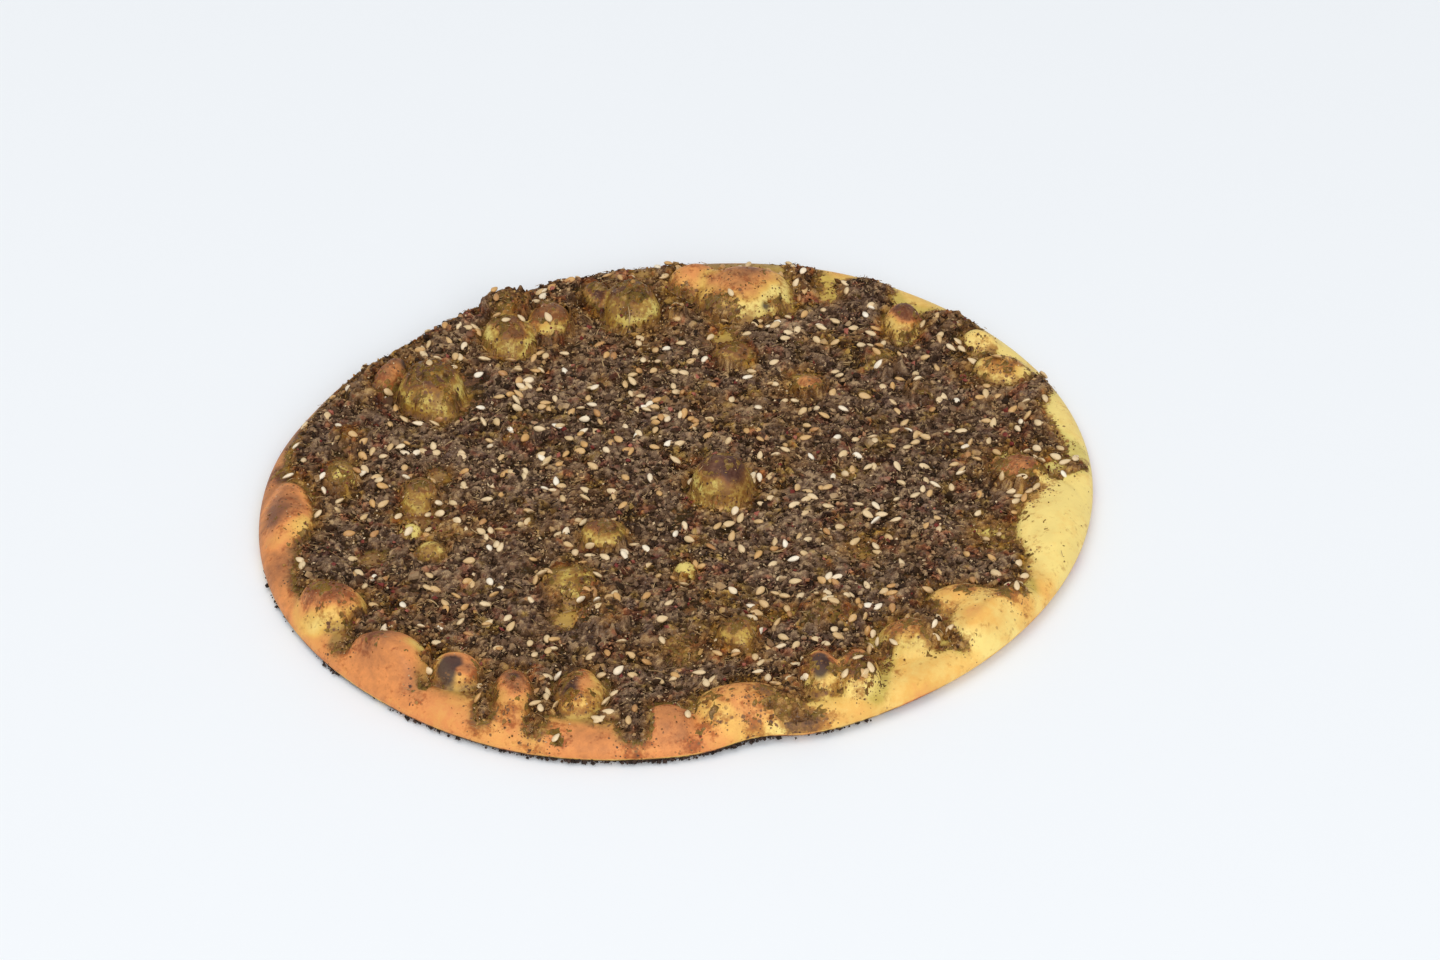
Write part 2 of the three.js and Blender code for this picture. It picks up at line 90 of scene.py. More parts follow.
# Long low waves in the dough.
Wave = namedtuple("Wave", "height along across start")
WAVES = table(
    Wave,
    (0.45, (1 / 13, 0), (0, 1 / 11), (1.1, 0.97)),
    (0.3, (1 / 7.3, 1 / 7.3), (1 / 8.9, -1 / 8.9), (2, 0)),
)

# Air bubbles: centre, radii, height, how far out of its radius each is bare of paste, how brown
# its crown is, how orange its skirt is, how much of its crown loose zaatar hides, how oily it is,
# and the first radius's turn.
Bubble = namedtuple("Bubble", "x y rx ry height bare crown skirt dust oil turn", defaults=[0])
BUBBLES = table(
    Bubble,
    # back left
    (-64, 37, 9, 10, 10, 1, 0.8, 0.0, 0.9, 0.85),
    (-75, 43, 4, 7, 5, 0.9, 0.62, 0.8, 0.35, 0.5, -20),
    (-81, 36, 5, 5, 3, 0, 0.7, 0.6, 0.97, 0.8),
    (-45, 61, 7, 7.5, 7, 1, 0.6, 0.0, 0.62, 0.9),
    (-46, 73, 7, 7, 6, 0, 0.35, 0.2, 0.6, 0.7),
    (-35, 67, 6, 8, 7, 0.9, 0.55, 0.05, 0.5, 0.65),
    (-41, 19, 4.5, 4.5, 3.5, 0, 0.45, 0.35, 0.55, 0.9),
    # back
    (-22.5, 79, 4.5, 6, 5, 0.9, 0.9, 0.35, 0.55, 0.7),
    (-13, 75, 7.5, 9.5, 8, 1, 0.88, 0.15, 0.75, 0.95),
    (-1, 72, 3, 3, 3, 0, 0.4, 0.2, 0.7, 0.8),
    (4, 86, 7, 6, 5, 1, 0.42, 0.5, 0.14, 0.3),
    (17, 80, 13, 11, 7, 1, 0.44, 0.15, 0.16, 0.45),
    (14.5, 54, 6, 6, 4, 0.7, 0.5, 0.4, 0.6, 0.8),
    (33, 40, 5, 5.5, 4, 0.6, 0.5, 0.25, 0.35, 0.5),
    # back right
    (58.5, 68, 5, 6.5, 6, 1, 0.75, 0.2, 0.4, 0.4),
    (52, 50, 6, 6, 4, 0, 0.25, 0.1, 0.5, 1.0),
    (63, 38, 5, 5, 3, 0, 0.35, 0.2, 0.65, 0.9),
    (79, 58, 5, 4.5, 3, 1, 0.08, 0.05, 0.16, 0.3),
    (84, 47, 8, 6, 3.5, 1, 0.25, 0.1, 0.55, 0.4),
    (85, 3, 8, 7.5, 5, 0.6, 0.58, 0.35, 0.32, 0.4),
    (93, -18, 9, 20, 2.2, 1, 0.0, 0.0, 0.01, 0.06),
    # front right
    (77, -53.5, 14, 9.5, 5, 1.05, 0.28, 0.1, 0.04, 0.05, 35),
    (68.5, -46.5, 8.5, 6.5, 4, 1, 0.2, 0.2, 0.06, 0.15),
    (56, -60, 8, 7, 5, 1, 0.4, 0.1, 0.42, 0.5, 20),
    (43, -74, 5.5, 8, 6, 1, 0.45, 0.1, 0.28, 0.45),
    (34.5, -74, 5, 8, 6, 1, 0.5, 0.2, 0.15, 0.25),
    (37, -50, 8, 7, 3.5, 0, 0.55, 0.4, 0.5, 0.9),
    (17, -86, 13, 8.5, 4.5, 1, 0.38, 0.25, 0.2, 0.25),
    (15, -59, 5.5, 6, 5, 0.9, 0.42, 0.3, 0.58, 0.8),
    # middle
    (11, -2, 7.8, 8, 10.5, 1, 0.82, 0.0, 0.42, 0.95),
    (2, -34.5, 3, 3.5, 3, 0, 0.05, 0.0, 0.2, 0.7),
    (-18, -22, 6.5, 6, 6, 0.9, 0.6, 0.25, 0.68, 0.9),
    (-26, -40, 8, 8, 4, 0.5, 0.2, 0.1, 0.36, 0.95),
    (-18, -53, 7, 6, 3.5, 0, 0.7, 0.5, 0.66, 0.6),
    # front left
    (-2, -91, 6.5, 6, 3, 1, 0.5, 0.75, 0.12, 0.1),
    (-23, -80, 6, 9, 5, 1.05, 0.42, 0.25, 0.15, 0.3),
    (-38, -81, 5, 9, 5, 1, 0.6, 0.55, 0.3, 0.25),
    (-52, -73, 6.2, 6.5, 5.5, 1, 0.5, 0.42, 0.03, 0.15),
    (-68, -69.5, 11, 9.5, 7, 1, 0.48, 0.75, 0.02, 0.05, -25),
    (-83, -50, 9, 8, 7, 1, 0.66, 0.42, 0.42, 0.3),
    # left
    (-97, -14, 7, 13, 3.5, 1, 0.55, 0.6, 0.16, 0.2),
    (-85, 2, 5, 7, 3.5, 0.6, 0.0, 0.0, 0.45, 1.0),
    (-83, 17, 5, 5, 3, 0, 0.55, 0.5, 0.6, 0.6),
    (-64.5, -5, 5.5, 6.5, 4, 0.8, 0.55, 0.2, 0.6, 0.85),
    (-66.5, -19, 3, 3, 2.5, 0, 0.0, 0.0, 0.2, 0.9),
    (-60, -27, 4, 4, 3, 0.8, 0.12, 0.1, 0.3, 0.8),
)
BUBBLE_ROUNDNESS = 0.55
BUBBLE_JOIN = 3

# The bare margin between the outline and the paste: its usual width, and where it differs.
MARGIN = 4.5
MARGIN_LEAST = 1.7
MARGIN_CHANGES = table(
    Change,
    (352, 13, 10), (5, 4, -9), (17, 6, 3.5), (23.5, 3.5, -5), (31, 4, 5), (44, 5, -4), (49.5, 5, 4),
    (59, 3.5, -4), (64.5, 3, 3), (72, 4, -4), (128, 38, -5), (188, 8, 6), (198, 4, 2.5),
    (246, 20, 5.5), (275, 10, 6), (309, 5, 5), (315, 22, 5),
)

# Tongues of paste that run out over the bare rim, from and to the middle of their round ends.
Tongue = namedtuple("Tongue", "start end half")
TONGUES = table(
    Tongue,
    ((-84, -36), (-91, -41), 2.4), ((-72, -54), (-79, -62), 3.2), ((-58.5, -62), (-59, -77), 1.8),
    ((-44.3, -74), (-45, -88.7), 2.2), ((-30.7, -76), (-32.3, -92.7), 2.4),
    ((-11, -78), (-9.5, -92.5), 4.2), ((27, -71), (27, -81.5), 4.5),
    ((49.5, -64), (46.5, -80), 2.3), ((59, -50), (62, -61.5), 3.9), ((62.5, -58), (67.5, -64), 1.5),
    ((80, -32), (82.5, -43), 4.0),
)

# Small irregularities that the fine surface adds: how far a place is drawn aside, and relief.
WARP_ACROSS = Unevenness(1.1, 9.0, 3, 2)
WARP_ALONG = Unevenness(1.1, 9.0, 53, 2)
CRUST_RELIEF = Unevenness(0.3, 6.0, 5)
CRUST_WRINKLES = Unevenness(0.07, 1.6, 8, 2)

# Shallow hollows in the underside, this deep, that begin this far in from the outline.
UNDER_HOLLOWS = Unevenness(1.0, 7.0, 25)
UNDER_HOLLOW_DEPTH = 0.3
UNDER_HOLLOW_INSET = 3

# The bread's mesh: rings of points, the first ones at these insets and the others evenly apart,
# with half as many points in a ring each time that its share of the radius falls to a halving.
NOMINAL_RADIUS = 100.0
RING_POINTS = 720
RING_HALVINGS = (0.55, 0.27)
RIM_RING_INSETS = [0, 0.04, 0.14, 0.32, 0.58, 0.92, 1.35, 1.85, 2.4]
RING_SPACING = 0.7
UNDER_RING_INSETS = [0.05, 0.16, 0.34, 0.6, 0.95, 1.4, 2.4, 3.6, 5.2, 7.0, 9.0]
UNDER_RING_SPACING = 4.0

# How far to each side of a place the slope there is read.
SLOPE_STEP = 0.35

# Hollows in the bubbles' skins: centre, radius and depth.
Spot = namedtuple("Spot", "x y radius amount")
DIMPLES = table(
    Spot,
    (-51.5, -73.5, 2.6, 1.3), (41, -76, 2.2, 0.8), (24.5, -91, 3.5, 1.2),
)

# ---------------------------------------------------------------- how the crust is baked

# How brown the bare rim is round the outline, from 0 for pale yellow to 1 for dark brown.
RIM_BAKE = 0.36
RIM_BAKE_CHANGES = table(
    Change,
    (0, 34, -0.36), (40, 22, -0.24), (305, 22, -0.18), (250, 20, 0.02), (225, 20, 0.1),
    (185, 26, 0.2), (130, 25, 0.2), (92, 14, 0.06),
)

# Patches of more and less bake, and how much they change the bake and the oil.
BAKE_PATCHES = Unevenness(1.0, 11.0, 377)
RIM_PATCHES = 0.1
ALL_PATCHES = 0.05
OIL_USUAL = 0.85
OIL_PATCHES = 0.25

# Where the parts of a bubble's look end: from and over which share of its radii.
CROWN_EDGE = (0.5, 0.42)
SHOW_EDGE = (0.6, 0.6)
OILY_EDGE = (0.8, 0.35)
BAKED_EDGE = (0.85, 0.3)

# A crown lies this share of the bubble's radius behind its middle, and its edge is uneven.
CROWN_BACK = 0.12
CROWN_ACROSS = Unevenness(2.3, 5.0, 73)
CROWN_ALONG = Unevenness(2.3, 5.0, 93)

# How brown the most orange skirt is.
SKIRT_BAKE = 0.62

# Places that are browner or paler than what is round them. The paler spot at (80, -55), on the front
# right bubble, is a painted highlight.
BAKE_SPOTS = table(
    Spot,
    (-98.7, -16.5, 5, 0.26), (-93, -19, 4, -0.3), (-97, -34, 5, 0.14), (-101, 4, 4, 0.2),
    (89, -42, 3.5, 0.12), (83, -66, 6, -0.12), (72, -62, 4, -0.08), (68, -43, 4, 0.1),
    (-62, -68, 3, -0.3), (59, -77, 5, 0.14), (-70, -62, 6, 0.12), (-62, -79, 3.2, 0.12),
    (-71.5, -67, 4.5, 0.16), (-28, -95, 3.6, 0.12), (-58, -70, 3, -0.34), (10, 90, 6, 0.14),
    (18.7, 84.5, 3.5, 0.26), (25, 76, 5, -0.2), (14, 71, 6, -0.2), (6, 78, 4, 0.14),
    # (-22, -97) makes the lower front rim browner: partly bake, partly painted shade.
    (1, -95, 6, 0.1), (28, -90, 6, -0.14), (14, -93, 5, 0.08), (-22, -97, 7, 0.14),
    (80, -55, 5, -0.2), (15, 78, 5, 0.12), (22, -84, 4, -0.2), (-86, -57, 4.5, -0.2),
    (-76, -52, 4, -0.2), (16, -4, 4.5, 0.42), (13, -7.5, 3, 0.25), (-65, 36, 6, 0.2),
    (-14, 73, 4.5, 0.18), (-45, 79, 4, -0.2), (-9, 71, 3.5, -0.3), (-19, -72, 3, 0.1),
    (-48.8, -76, 2.6, 0.16), (-51, -66.5, 3, -0.12),
)

# Burnt spots.
BURNT_SPOTS = table(
    Spot,
    (-51.6, -72.4, 2.5, 0.6), (-53.6, -74.2, 2.8, 0.85), (-54.2, -76.8, 2.4, 0.75),
    (-52.6, -78.6, 1.8, 0.5), (-24.8, -83, 3.0, 0.8), (-24.5, -78.5, 3.2, 0.6),
    (-37.8, -79, 2.6, 0.75), (33.6, -73, 2.6, 0.85), (34.6, -76.4, 2.7, 0.95),
    (33.6, -79, 2.1, 0.55), (39.5, -70.5, 1.2, 0.8), (-13.5, 73.5, 4.4, 0.5),
    (-21.8, 79, 2.8, 0.55), (9.5, 0.5, 4.2, 0.5), (-70.6, 46, 2.6, 0.95), (57.5, 69.5, 2.6, 0.5),
    (22.4, 72.8, 1.4, 0.9),
)

# Where loose zaatar is strewn over the bare crust.
DUST_SPOTS = table(
    Spot,
    (11.5, 71, 4.5, 0.85), (7.5, 75, 3.5, 0.7), (27, 74, 4, 0.75), (8.5, -91, 3, 0.5),
    (31.5, -88.5, 3.5, 0.55), (27, -87.5, 3.5, 0.75), (20, -83.5, 3.5, 0.7), (35, -89.5, 3, 0.35),
    (4, -96.5, 3, 0.4), (-39, -89.5, 3, 0.45), (-25, -86, 3.5, 0.6), (17, -90, 3.5, 0.45),
    (37, -76, 3, 0.5), (43.5, -73.5, 3.8, 0.95), (-14, 69, 4, 0.6), (-67, 29.5, 4, 0.65),
    (79, -47.5, 3.8, 0.8), (-35, -97, 4, 0.3), (44, -78, 3.8, 0.85), (-56.5, 31.5, 3.4, 0.7),
    (-25, -74, 4, 0.9), (-58, 28.5, 3, 0.5), (-28, -95, 3.6, 0.5), (-72, -65.5, 4, 0.4),
    (70, -44.5, 3.5, 0.7), (-26.5, -79, 3.8, 0.9), (83, -6, 5.5, 0.75), (88, -3, 4.5, 0.6),
    (29, -91, 2.8, 0.65), (24, -87, 4, 0.4), (-62, -80, 2.6, 0.4), (-9, -97, 4, 0.75),
    (-91, 0, 6, 0.6), (-99, 4, 5, 0.5), (8, -84, 3.5, 0.4), (-18, -86, 4, 0.35),
)

# Where the paste is so thin that the dough shows through it.
THIN_SPOTS = table(
    Spot,
    (47, -81, 4.2, 1.3), (48.8, -75, 3.4, 0.9), (50.5, -69, 3, 0.7), (50, -60, 5, 0.95),
    (54, -56, 3.5, 0.8), (63.5, -62.5, 3, 0.7), (86.5, -42, 4.2, 1.2), (94.5, 5.5, 4, 0.85),
    (84, 10, 5, 0.9), (39, 82, 3.5, 0.5), (101.5, 12, 4.5, 1.2), (98.5, 18, 3.5, 0.7),
    (5, 94, 4, 1.2), (12, 94, 4, 1.3), (10.5, 89, 4, 1.2), (39, 88, 3.5, 0.9),
    (-25.5, -49.5, 5, 0.7), (19, 93.5, 4, 1.3), (25, 92, 4, 1.1), (59, 79, 3.6, 1.1),
    (63, 75.5, 3.6, 1.1), (-52, -81, 3.6, 1.2), (-22.5, -90, 4, 1.2), (-61.5, -70, 2.8, 1.1),
    (-62.5, -75, 2.8, 1.0), (-59, -75.5, 2.2, 0.7), (-60, -64.5, 2.4, 0.5), (-81, -60, 3.2, 1.0),
    (-60, 3.7, 3.6, 0.95), (32.5, 44.5, 5.2, 0.95), (11.5, 63, 4.8, 1.0), (-75, -28, 4.4, 0.85),
    (23.3, -52, 4.2, 0.6), (-26.7, -53, 3.5, 0.5), (55.3, -54, 3.8, 1.0), (-10.7, 90.5, 4, 0.8),
    (-64.5, -13, 6, 0.75), (2, -34.5, 3.5, 0.9), (43, 6, 5, 0.5), (45, -27, 6, 0.5),
    (80, -19.5, 6.5, 0.62), (41, 80, 5, 0.45), (33, 62, 4, 0.35), (-56, -19, 4, 0.4),
    (-50, -40, 4, 0.45), (-83, 9, 4, 0.5), (-1, -63, 8, 0.45), (28, -49, 2.6, 0.6),
    (-55, 76, 4, 0.4), (74, -17, 5, 0.4), (-34, -57, 5, 0.3), (3, -66, 5, 0.3), (72, 46, 4, 0.3),
    (-20, 43, 2.6, 0.5),
)

# Deep gaps in the coat.
GAPS = table(
    Spot,
    (-53, 43, 4.2, 1.9), (-53, 35, 3.6, 1.6), (19.5, -7, 3, 1.2), (4.5, -47, 3, 1.0),
    (-24, 27, 4, 0.9), (-12, 42, 3.5, 0.8), (-37.5, 28, 4, 0.9), (1, -13.5, 3.4, 1.8),
    (12.5, -17, 3.4, 1.6), (-48.5, 21.5, 3, 1.0), (3, -48.5, 3, 1.0), (-71, -1, 2.2, 1.2),
    (-37, -34, 3, 1.2), (-28, 59, 2.6, 1.0), (-8, 50, 3.2, 0.8), (0, -53, 3, 0.7),
    (32, -60.5, 3, 0.8), (-76, 10.5, 2.8, 0.7), (-55.5, 29, 2.4, 1.0),
)

# Under the front of the rim, a burnt line: between these angles, up to this height.
BURNT_EDGE_FROM = 196
BURNT_EDGE_TO = 318
BURNT_EDGE_HEIGHT = 0.95
BURNT_EDGE_START = 8
BURNT_EDGE_END = 25
BURNT_EDGE_FADE = 0.7
BURNT_EDGE_INSET = 3
BURNT_EDGE_LEAST = 0.4
BURNT_EDGE_AMOUNT = 0.75
BURNT_EDGE_PATCHES = Unevenness(0.35, 5.0, 386)

# The underside: how brown it is between and in its brown spots, how much of it they cover, and its
# oil and loose zaatar.
UNDER_BAKE = 0.16
UNDER_BROWN = 0.5
UNDER_BROWN_USUAL = 0.7
UNDER_BROWN_PATCHES = 0.5
UNDER_BROWNING = Unevenness(1.0, 9.0, 382)
UNDER_BROWN_FROM = -0.15
UNDER_BROWN_FADE = 0.6
UNDER_OIL = 0.05
UNDER_DUST = 0.02

# Oil from the paste tints the crust olive within this distance of it, less far beside a tongue, and
# by the paste on a bubble.
OIL_REACH = 2.6
TONGUE_OIL = 0.6
FOOT_OIL = 0.55
FOOT_OIL_REACH = 1.1

# Loose zaatar on bare crust: how much there is everywhere and at the paste's edge, and how far
# from the edge it thins out.
DUST_LEAST = 0.014
DUST_AT_EDGE = 0.7
DUST_REACH = 1.1
DUST_OF_OIL = 0.16

# ---------------------------------------------------------------- the coat of paste

COAT_STEP = 0.48
COAT_RAGGED = Unevenness(1.15, 4.5, 13)
COAT_FRAYED = Unevenness(0.8, 1.4, 21, 2)
COAT_THICKNESS = 1.1
COAT_EDGE_WIDTH = 1.6
COAT_LUMPS = Unevenness(0.7, 5.0, 34)

# Round grains packed side by side: their size and height, the least share of that height, the
# level that they stand from, and where their random draws start.
Grain = namedtuple("Grain", "size height least level draw")
CLOTS = Grain(2.1, 0.95, 0.5, 0.7, 55)
GRAINS = Grain(1.0, 0.6, 0.4, 0.6, 89)

# The share of the coat's relief that is left at its edge.
LEAST_RELIEF = 0.15

# Small dark gaps between the clots: how far apart they may be, which share there is, and their size.
PIT_SPACING = 5.2
PIT_SHARE = 0.48
PIT_DEPTH = 1.8
PIT_RADIUS = 1.15
PIT_DRAW = 144

# The coat's surface is kept down to this height over the crust, and this far in from the outline.
COAT_SUNK = -0.4
COAT_INSET = 0.6

# What the coat's colour reads: fine grains' share of the tone, where it is hollow and darkened by painted
# shade, and where it is thin.
FINE_TONE = 0.6
HOLLOW_SHADE_FROM = 0.15
HOLLOW_SHADE_FADE = 1.3
HOLLOW_SHADE_INSET = 2.5
THIN_UNDER = 0.8

# How far down the coat is drawn where the dough shows through, and how high loose zaatar stands.
SHOW_DEPTH = 2.15
LOOSE_HEIGHT = 0.95
LOOSE_SHARE = 0.8
LOOSE_LEVEL = 0.55
LOOSE_PATCHES = Unevenness(0.8, 1.6, 10946)
LOOSE_GRAINS = 0.4
STEEPEST_STRETCH = 2.5

# The dough shows through on the bubbles that are bare over less than this share of their radii.
SHOW_UNDER_BARE = 0.9

# In patches along its edge the coat thins out over this distance.
EDGE_SHOW = 0.85
EDGE_SHOW_REACH = 3.2
EDGE_SHOW_USUAL = 0.45
EDGE_SHOW_PATCHES = Unevenness(0.9, 7.0, 10966)

# How brown rather than grey the zaatar is: everywhere, near the paste's edge and where it is thin.
WARMTH_LEAST = 0.22
WARMTH_AT_EDGE = 0.5
WARMTH_REACH = 3.5
WARMTH_OF_THIN = 1.1
WARM_PATCHES = Unevenness(0.45, 15.0, 17711)

# The brown film on bare crust: at the paste's edge, how far it reaches, and elsewhere.
FILM_AT_EDGE = 0.62
FILM_REACH = 1.15
FILM_OF_DUST = 1.05
FILM_OF_OIL = 0.5
# At an oily bubble's foot, where the paste meets it, the film is partly painted shade in that crease.
FILM_AND_SHADE_AT_FOOT = 0.85
FILM_AND_SHADE_FOOT_REACH = 2.2
FILM_FADE = 0.8

# ---------------------------------------------------------------- what is scattered

# Sesame seeds: their size and how much it varies, how many there are, how likely one is to lie
# outside the paste or in a gap, how they lie, their shape, and how the bare ones differ.
SEED_LENGTH = 3.1
SEED_WIDTH = 1.9
SEED_THICKNESS = 1.2
SEED_SPREAD = 0.14
SEED_SWING = 0.7
SEED_COUNT = 690
SEED_DRAW = 610
SEED_SHARE = 0.26
SEED_ON_DUST = 0.5
SEED_GAP_LEAST = 0.1
SEED_PASTE_FROM = 0.4
SEED_TILT = 26
SEED_ROLL = 0.8
SEED_PITCH = 0.6
SEED_SUNK = (-1.0, -0.1)
SEED_ROUNDNESS = 0.62
SEED_WIDEST = 1.12
SEED_POINTED = 0.5
SEED_SIDES = 10
SEED_RINGS = 9
LONE_SEED_SUNK = -0.4
LONE_SEED_TILT = 0.15
LONE_SEED_TONE = 0.25

# Strewn things keep this far inside the outline, and are drawn this many times at most. They thin
# out over this width at the paste's edge, and there are fewer outside it, where the dough shows and
# in gaps.
STREWN_INSET = 0.8
STREWN_TRIES = 24
PASTE_FADE = 1.5
STREWN_OF_DUST = 0.8
STREWN_DUST_POWER = 1.2
STREWN_OF_SHOW = 0.92
STREWN_OF_GAPS = 0.9

# Crumbs of a kind: how many, their smallest and largest size, how flat they are, where their draws
# start.
Crumbs = namedtuple("Crumbs", "count low high flat draw")
FINE_CRUMBS = Crumbs(23500, 0.35, 1.5, 0.75, 987)
CLOT_CRUMBS = Crumbs(900, 1.1, 2.6, 0.6, 28657)
# Pale flecks are bits of sesame and crumb, and partly painted highlights standing in for glints of oil.
FLECK_AND_GLINT_CRUMBS = Crumbs(6500, 0.35, 0.95, 0.75, 75025)
SUMAC_CRUMBS = Crumbs(420, 0.6, 1.9, 0.75, 4181)

# How uneven crumbs' corners and sides are, their size on bare crust, how they lie and their tone.
CRUMB_CORNERS = (0.65, 1.25)
CRUMB_SIDES = (0.7, 1.35)
CRUMB_ON_CRUST = 0.3
CRUMB_PROUD = 0.3
CRUMB_SUNK = (-0.1, 0.4)
CRUMB_LEAN = 0.5
CRUMB_TONE_ON_CRUST = 0.55

# Flakes of dried leaf: their shape, their length on bare crust, how they lie and their tone.
FLAKE_COUNT = 12500
FLAKE_DRAW = 1597
FLAKE_SIDES = 5
FLAKE_LENGTHS = (0.9, 2.3)
FLAKE_WIDTHS = (0.35, 0.62)
FLAKE_CORNERS = (0.75, 1.15)
FLAKE_THICKNESS = 0.16
FLAKE_BOW = (-0.35, 0.5)
FLAKE_ON_CRUST = 0.4
FLAKE_SUNK = (-0.45, 0.1)
FLAKE_LEAN = 0.35
FLAKE_TONE_ON_CRUST = 0.6

# The tone that crumbs and flakes on bare crust have at the least.
LEAST_TONE_ON_CRUST = 0.3

# Stems of a kind: how many, their range of length and of thickness, their sides and steps, how far
# they sink, and where their draws start.
Stems = namedtuple("Stems", "count lengths widths sides steps sunk draw")
HERB_STEMS = Stems(120, (2.2, 5.5), (0.16, 0.34), 5, 5, (-0.7, -0.3), 2584)
HERB_FIBRES = Stems(2600, (0.9, 2.6), (0.1, 0.2), 3, 3, (-0.8, -0.2), 46368)
STEM_SHARE = 0.8
STEM_BOW = 0.16
STEM_TAPER = 0.7
STEM_LEAN = 0.12

# Burnt crumbs on the bottom edge: how many there are, where their draws start, how many times more
# are drawn to choose from, how thick they hang between the clusters, and where they lie.
BURNT_CRUMB_COUNT = 620
BURNT_DRAW = 6765
BURNT_CRUMB_CHOICE = 14
BURNT_CRUMB_SHARE = 0.25
BURNT_CRUMB_LEAST = 0.01
BURNT_CRUMB_LEAST_TO = 298
BURNT_CRUMB_INSETS = (-0.25, 0.9)
BURNT_CRUMB_HEIGHTS = (0.05, 0.9)
BURNT_CRUMB_CORNERS = (0.6, 1.3)
BURNT_CRUMB_TURNS = (0, 6)
BURNT_CRUMB_SMALLEST = 0.35
BURNT_CRUMB_LARGER = 1.0
BURNT_CRUMB_CLEARANCE = 0.7

# Where more of the seeds lie, with how many times the usual share there.
SEED_CLUSTERS = table(
    Spot,
    (-3, 38, 13, 2.4), (35.5, -38.5, 4, 2.5), (28, 66, 10, 1.0), (-40, 44, 10, 1.2),
    (20, -15, 18, 0.8), (30, -40, 12, 0.7), (-75, 5, 14, 0.8), (-28, 15, 14, 0.7),
    (60, 20, 16, 0.6), (45, -58, 8, 1.2), (86, 8, 8, 1.6), (-50, 60, 8, 1.2),
)

# Seeds that lie bare on the crust: place and turn.
LoneSeed = namedtuple("LoneSeed", "x y turn")
LONE_SEEDS = table(
    LoneSeed,
    (2.9, 1.1, 75), (2.8, -90, 85), (-18.2, -89.8, 150), (-15.6, -88.1, 165), (-14.2, -80.8, 35),
    (40, -77.6, 45), (45.5, -77, 120), (-31.5, -87.7, 95), (-27.7, -84.8, 30), (-46, -78, 110),
    (5.5, -73.2, 170), (7.1, -77.1, 110), (21.7, -75.3, 85), (28.4, -70, 170), (30, -67.5, 130),
    (26.7, -76.1, 60), (13.3, 75.5, 110), (-67, 52.5, 130), (-57.5, 52.3, 100), (-45.6, 61.1, 20),
    (-42, 64, 150), (-34.7, 64, 115), (62.7, -53.4, 100), (61.5, -63.5, 170), (65.4, -59, 20),
    (81.7, -46.1, 95), (83.2, -32.6, 60), (85.8, -1.8, 175), (84, -7.3, 35), (100, 8.8, 60),
    (97.3, 6.8, 20), (95, 9, 150), (48.3, -61, 55), (72.6, 58.8, 160), (76.2, 51.1, 150),
    (30, -44, 50), (36.5, -48, 25), (41, -46, 35), (46, -40, 110), (25, -38, 60),
)

# Clusters of burnt crumbs that hang on the bottom edge: angle, spread and share.
BURNT_CLUSTERS = table(
    Change,
    (196, 2, 0.5), (204, 3, 0.6), (218.5, 1.6, 2.2), (235, 4, 0.8), (252, 6, 0.9), (264, 8, 2.2),
    (275, 5, 1.4), (280, 4, 1.6), (292, 2, 1.0), (297, 2, 0.6),
)

# ---------------------------------------------------------------- colours (sRGB, 0 to 255)

PALE_DOUGH = (243, 215, 128)
GOLDEN_DOUGH = (235, 181, 92)
ORANGE_CRUST = (226, 144, 80)
BROWN_CRUST = (150, 94, 58)
DARK_CRUST = (96, 60, 44)
BURNT_CRUST = (56, 42, 42)
OILY_PALE = (222, 202, 112)
OILY_GOLDEN = (196, 166, 76)
OILY_TAN = (168, 128, 66)
OILY_BROWN = (122, 84, 52)
OILY_SHINE = (168, 136, 52)
FILM_TINT = (186, 150, 120)
FILM_BROWN = (122, 82, 50)
FILM_DARK = (70, 44, 28)
# The blackest crumbs, also the colour of the painted shade in the coat's hollows.
CRUMB_BLACK_AND_HOLLOW_SHADE = (44, 27, 10)
CRUMB_DARK = (78, 55, 38)
CRUMB_BROWN = (127, 100, 77)
CRUMB_TAN = (180, 150, 113)
WARM_BLACK = (46, 27, 10)
WARM_DARK = (90, 58, 28)
WARM_BROWN = (140, 98, 52)
WARM_TAN = (192, 150, 86)
PASTE_OLIVE = (132, 106, 46)
SUMAC_TINT = (255, 200, 200)
OLIVE_TINT = (250, 240, 150)
DUSKY_TINT = (196, 188, 204)
SUMAC_RED = (118, 46, 38)
SUMAC_PINK = (176, 104, 84)
STEM_PALE = (196, 164, 116)
STEM_BROWN = (136, 102, 64)
FLECK_TAN = (172, 136, 92)
# The palest flecks are partly painted highlights for glints of oil.
FLECK_AND_GLINT_CREAM = (230, 202, 160)
SEED_WHITE = (246, 234, 212)
SEED_CREAM = (230, 203, 160)
SEED_TAN = (212, 180, 130)
SEED_GOLD = (206, 158, 94)
SEED_BROWN = (176, 124, 72)
# A seed's low side: partly a stain of paste, partly painted shade.
SEED_STAIN_AND_SHADE = (128, 92, 52)
BURNT_BLACK = (30, 24, 22)
BURNT_BROWN = (72, 54, 46)
FLOOR_COLOUR = (240, 242, 245)

WHITE = (255, 255, 255)

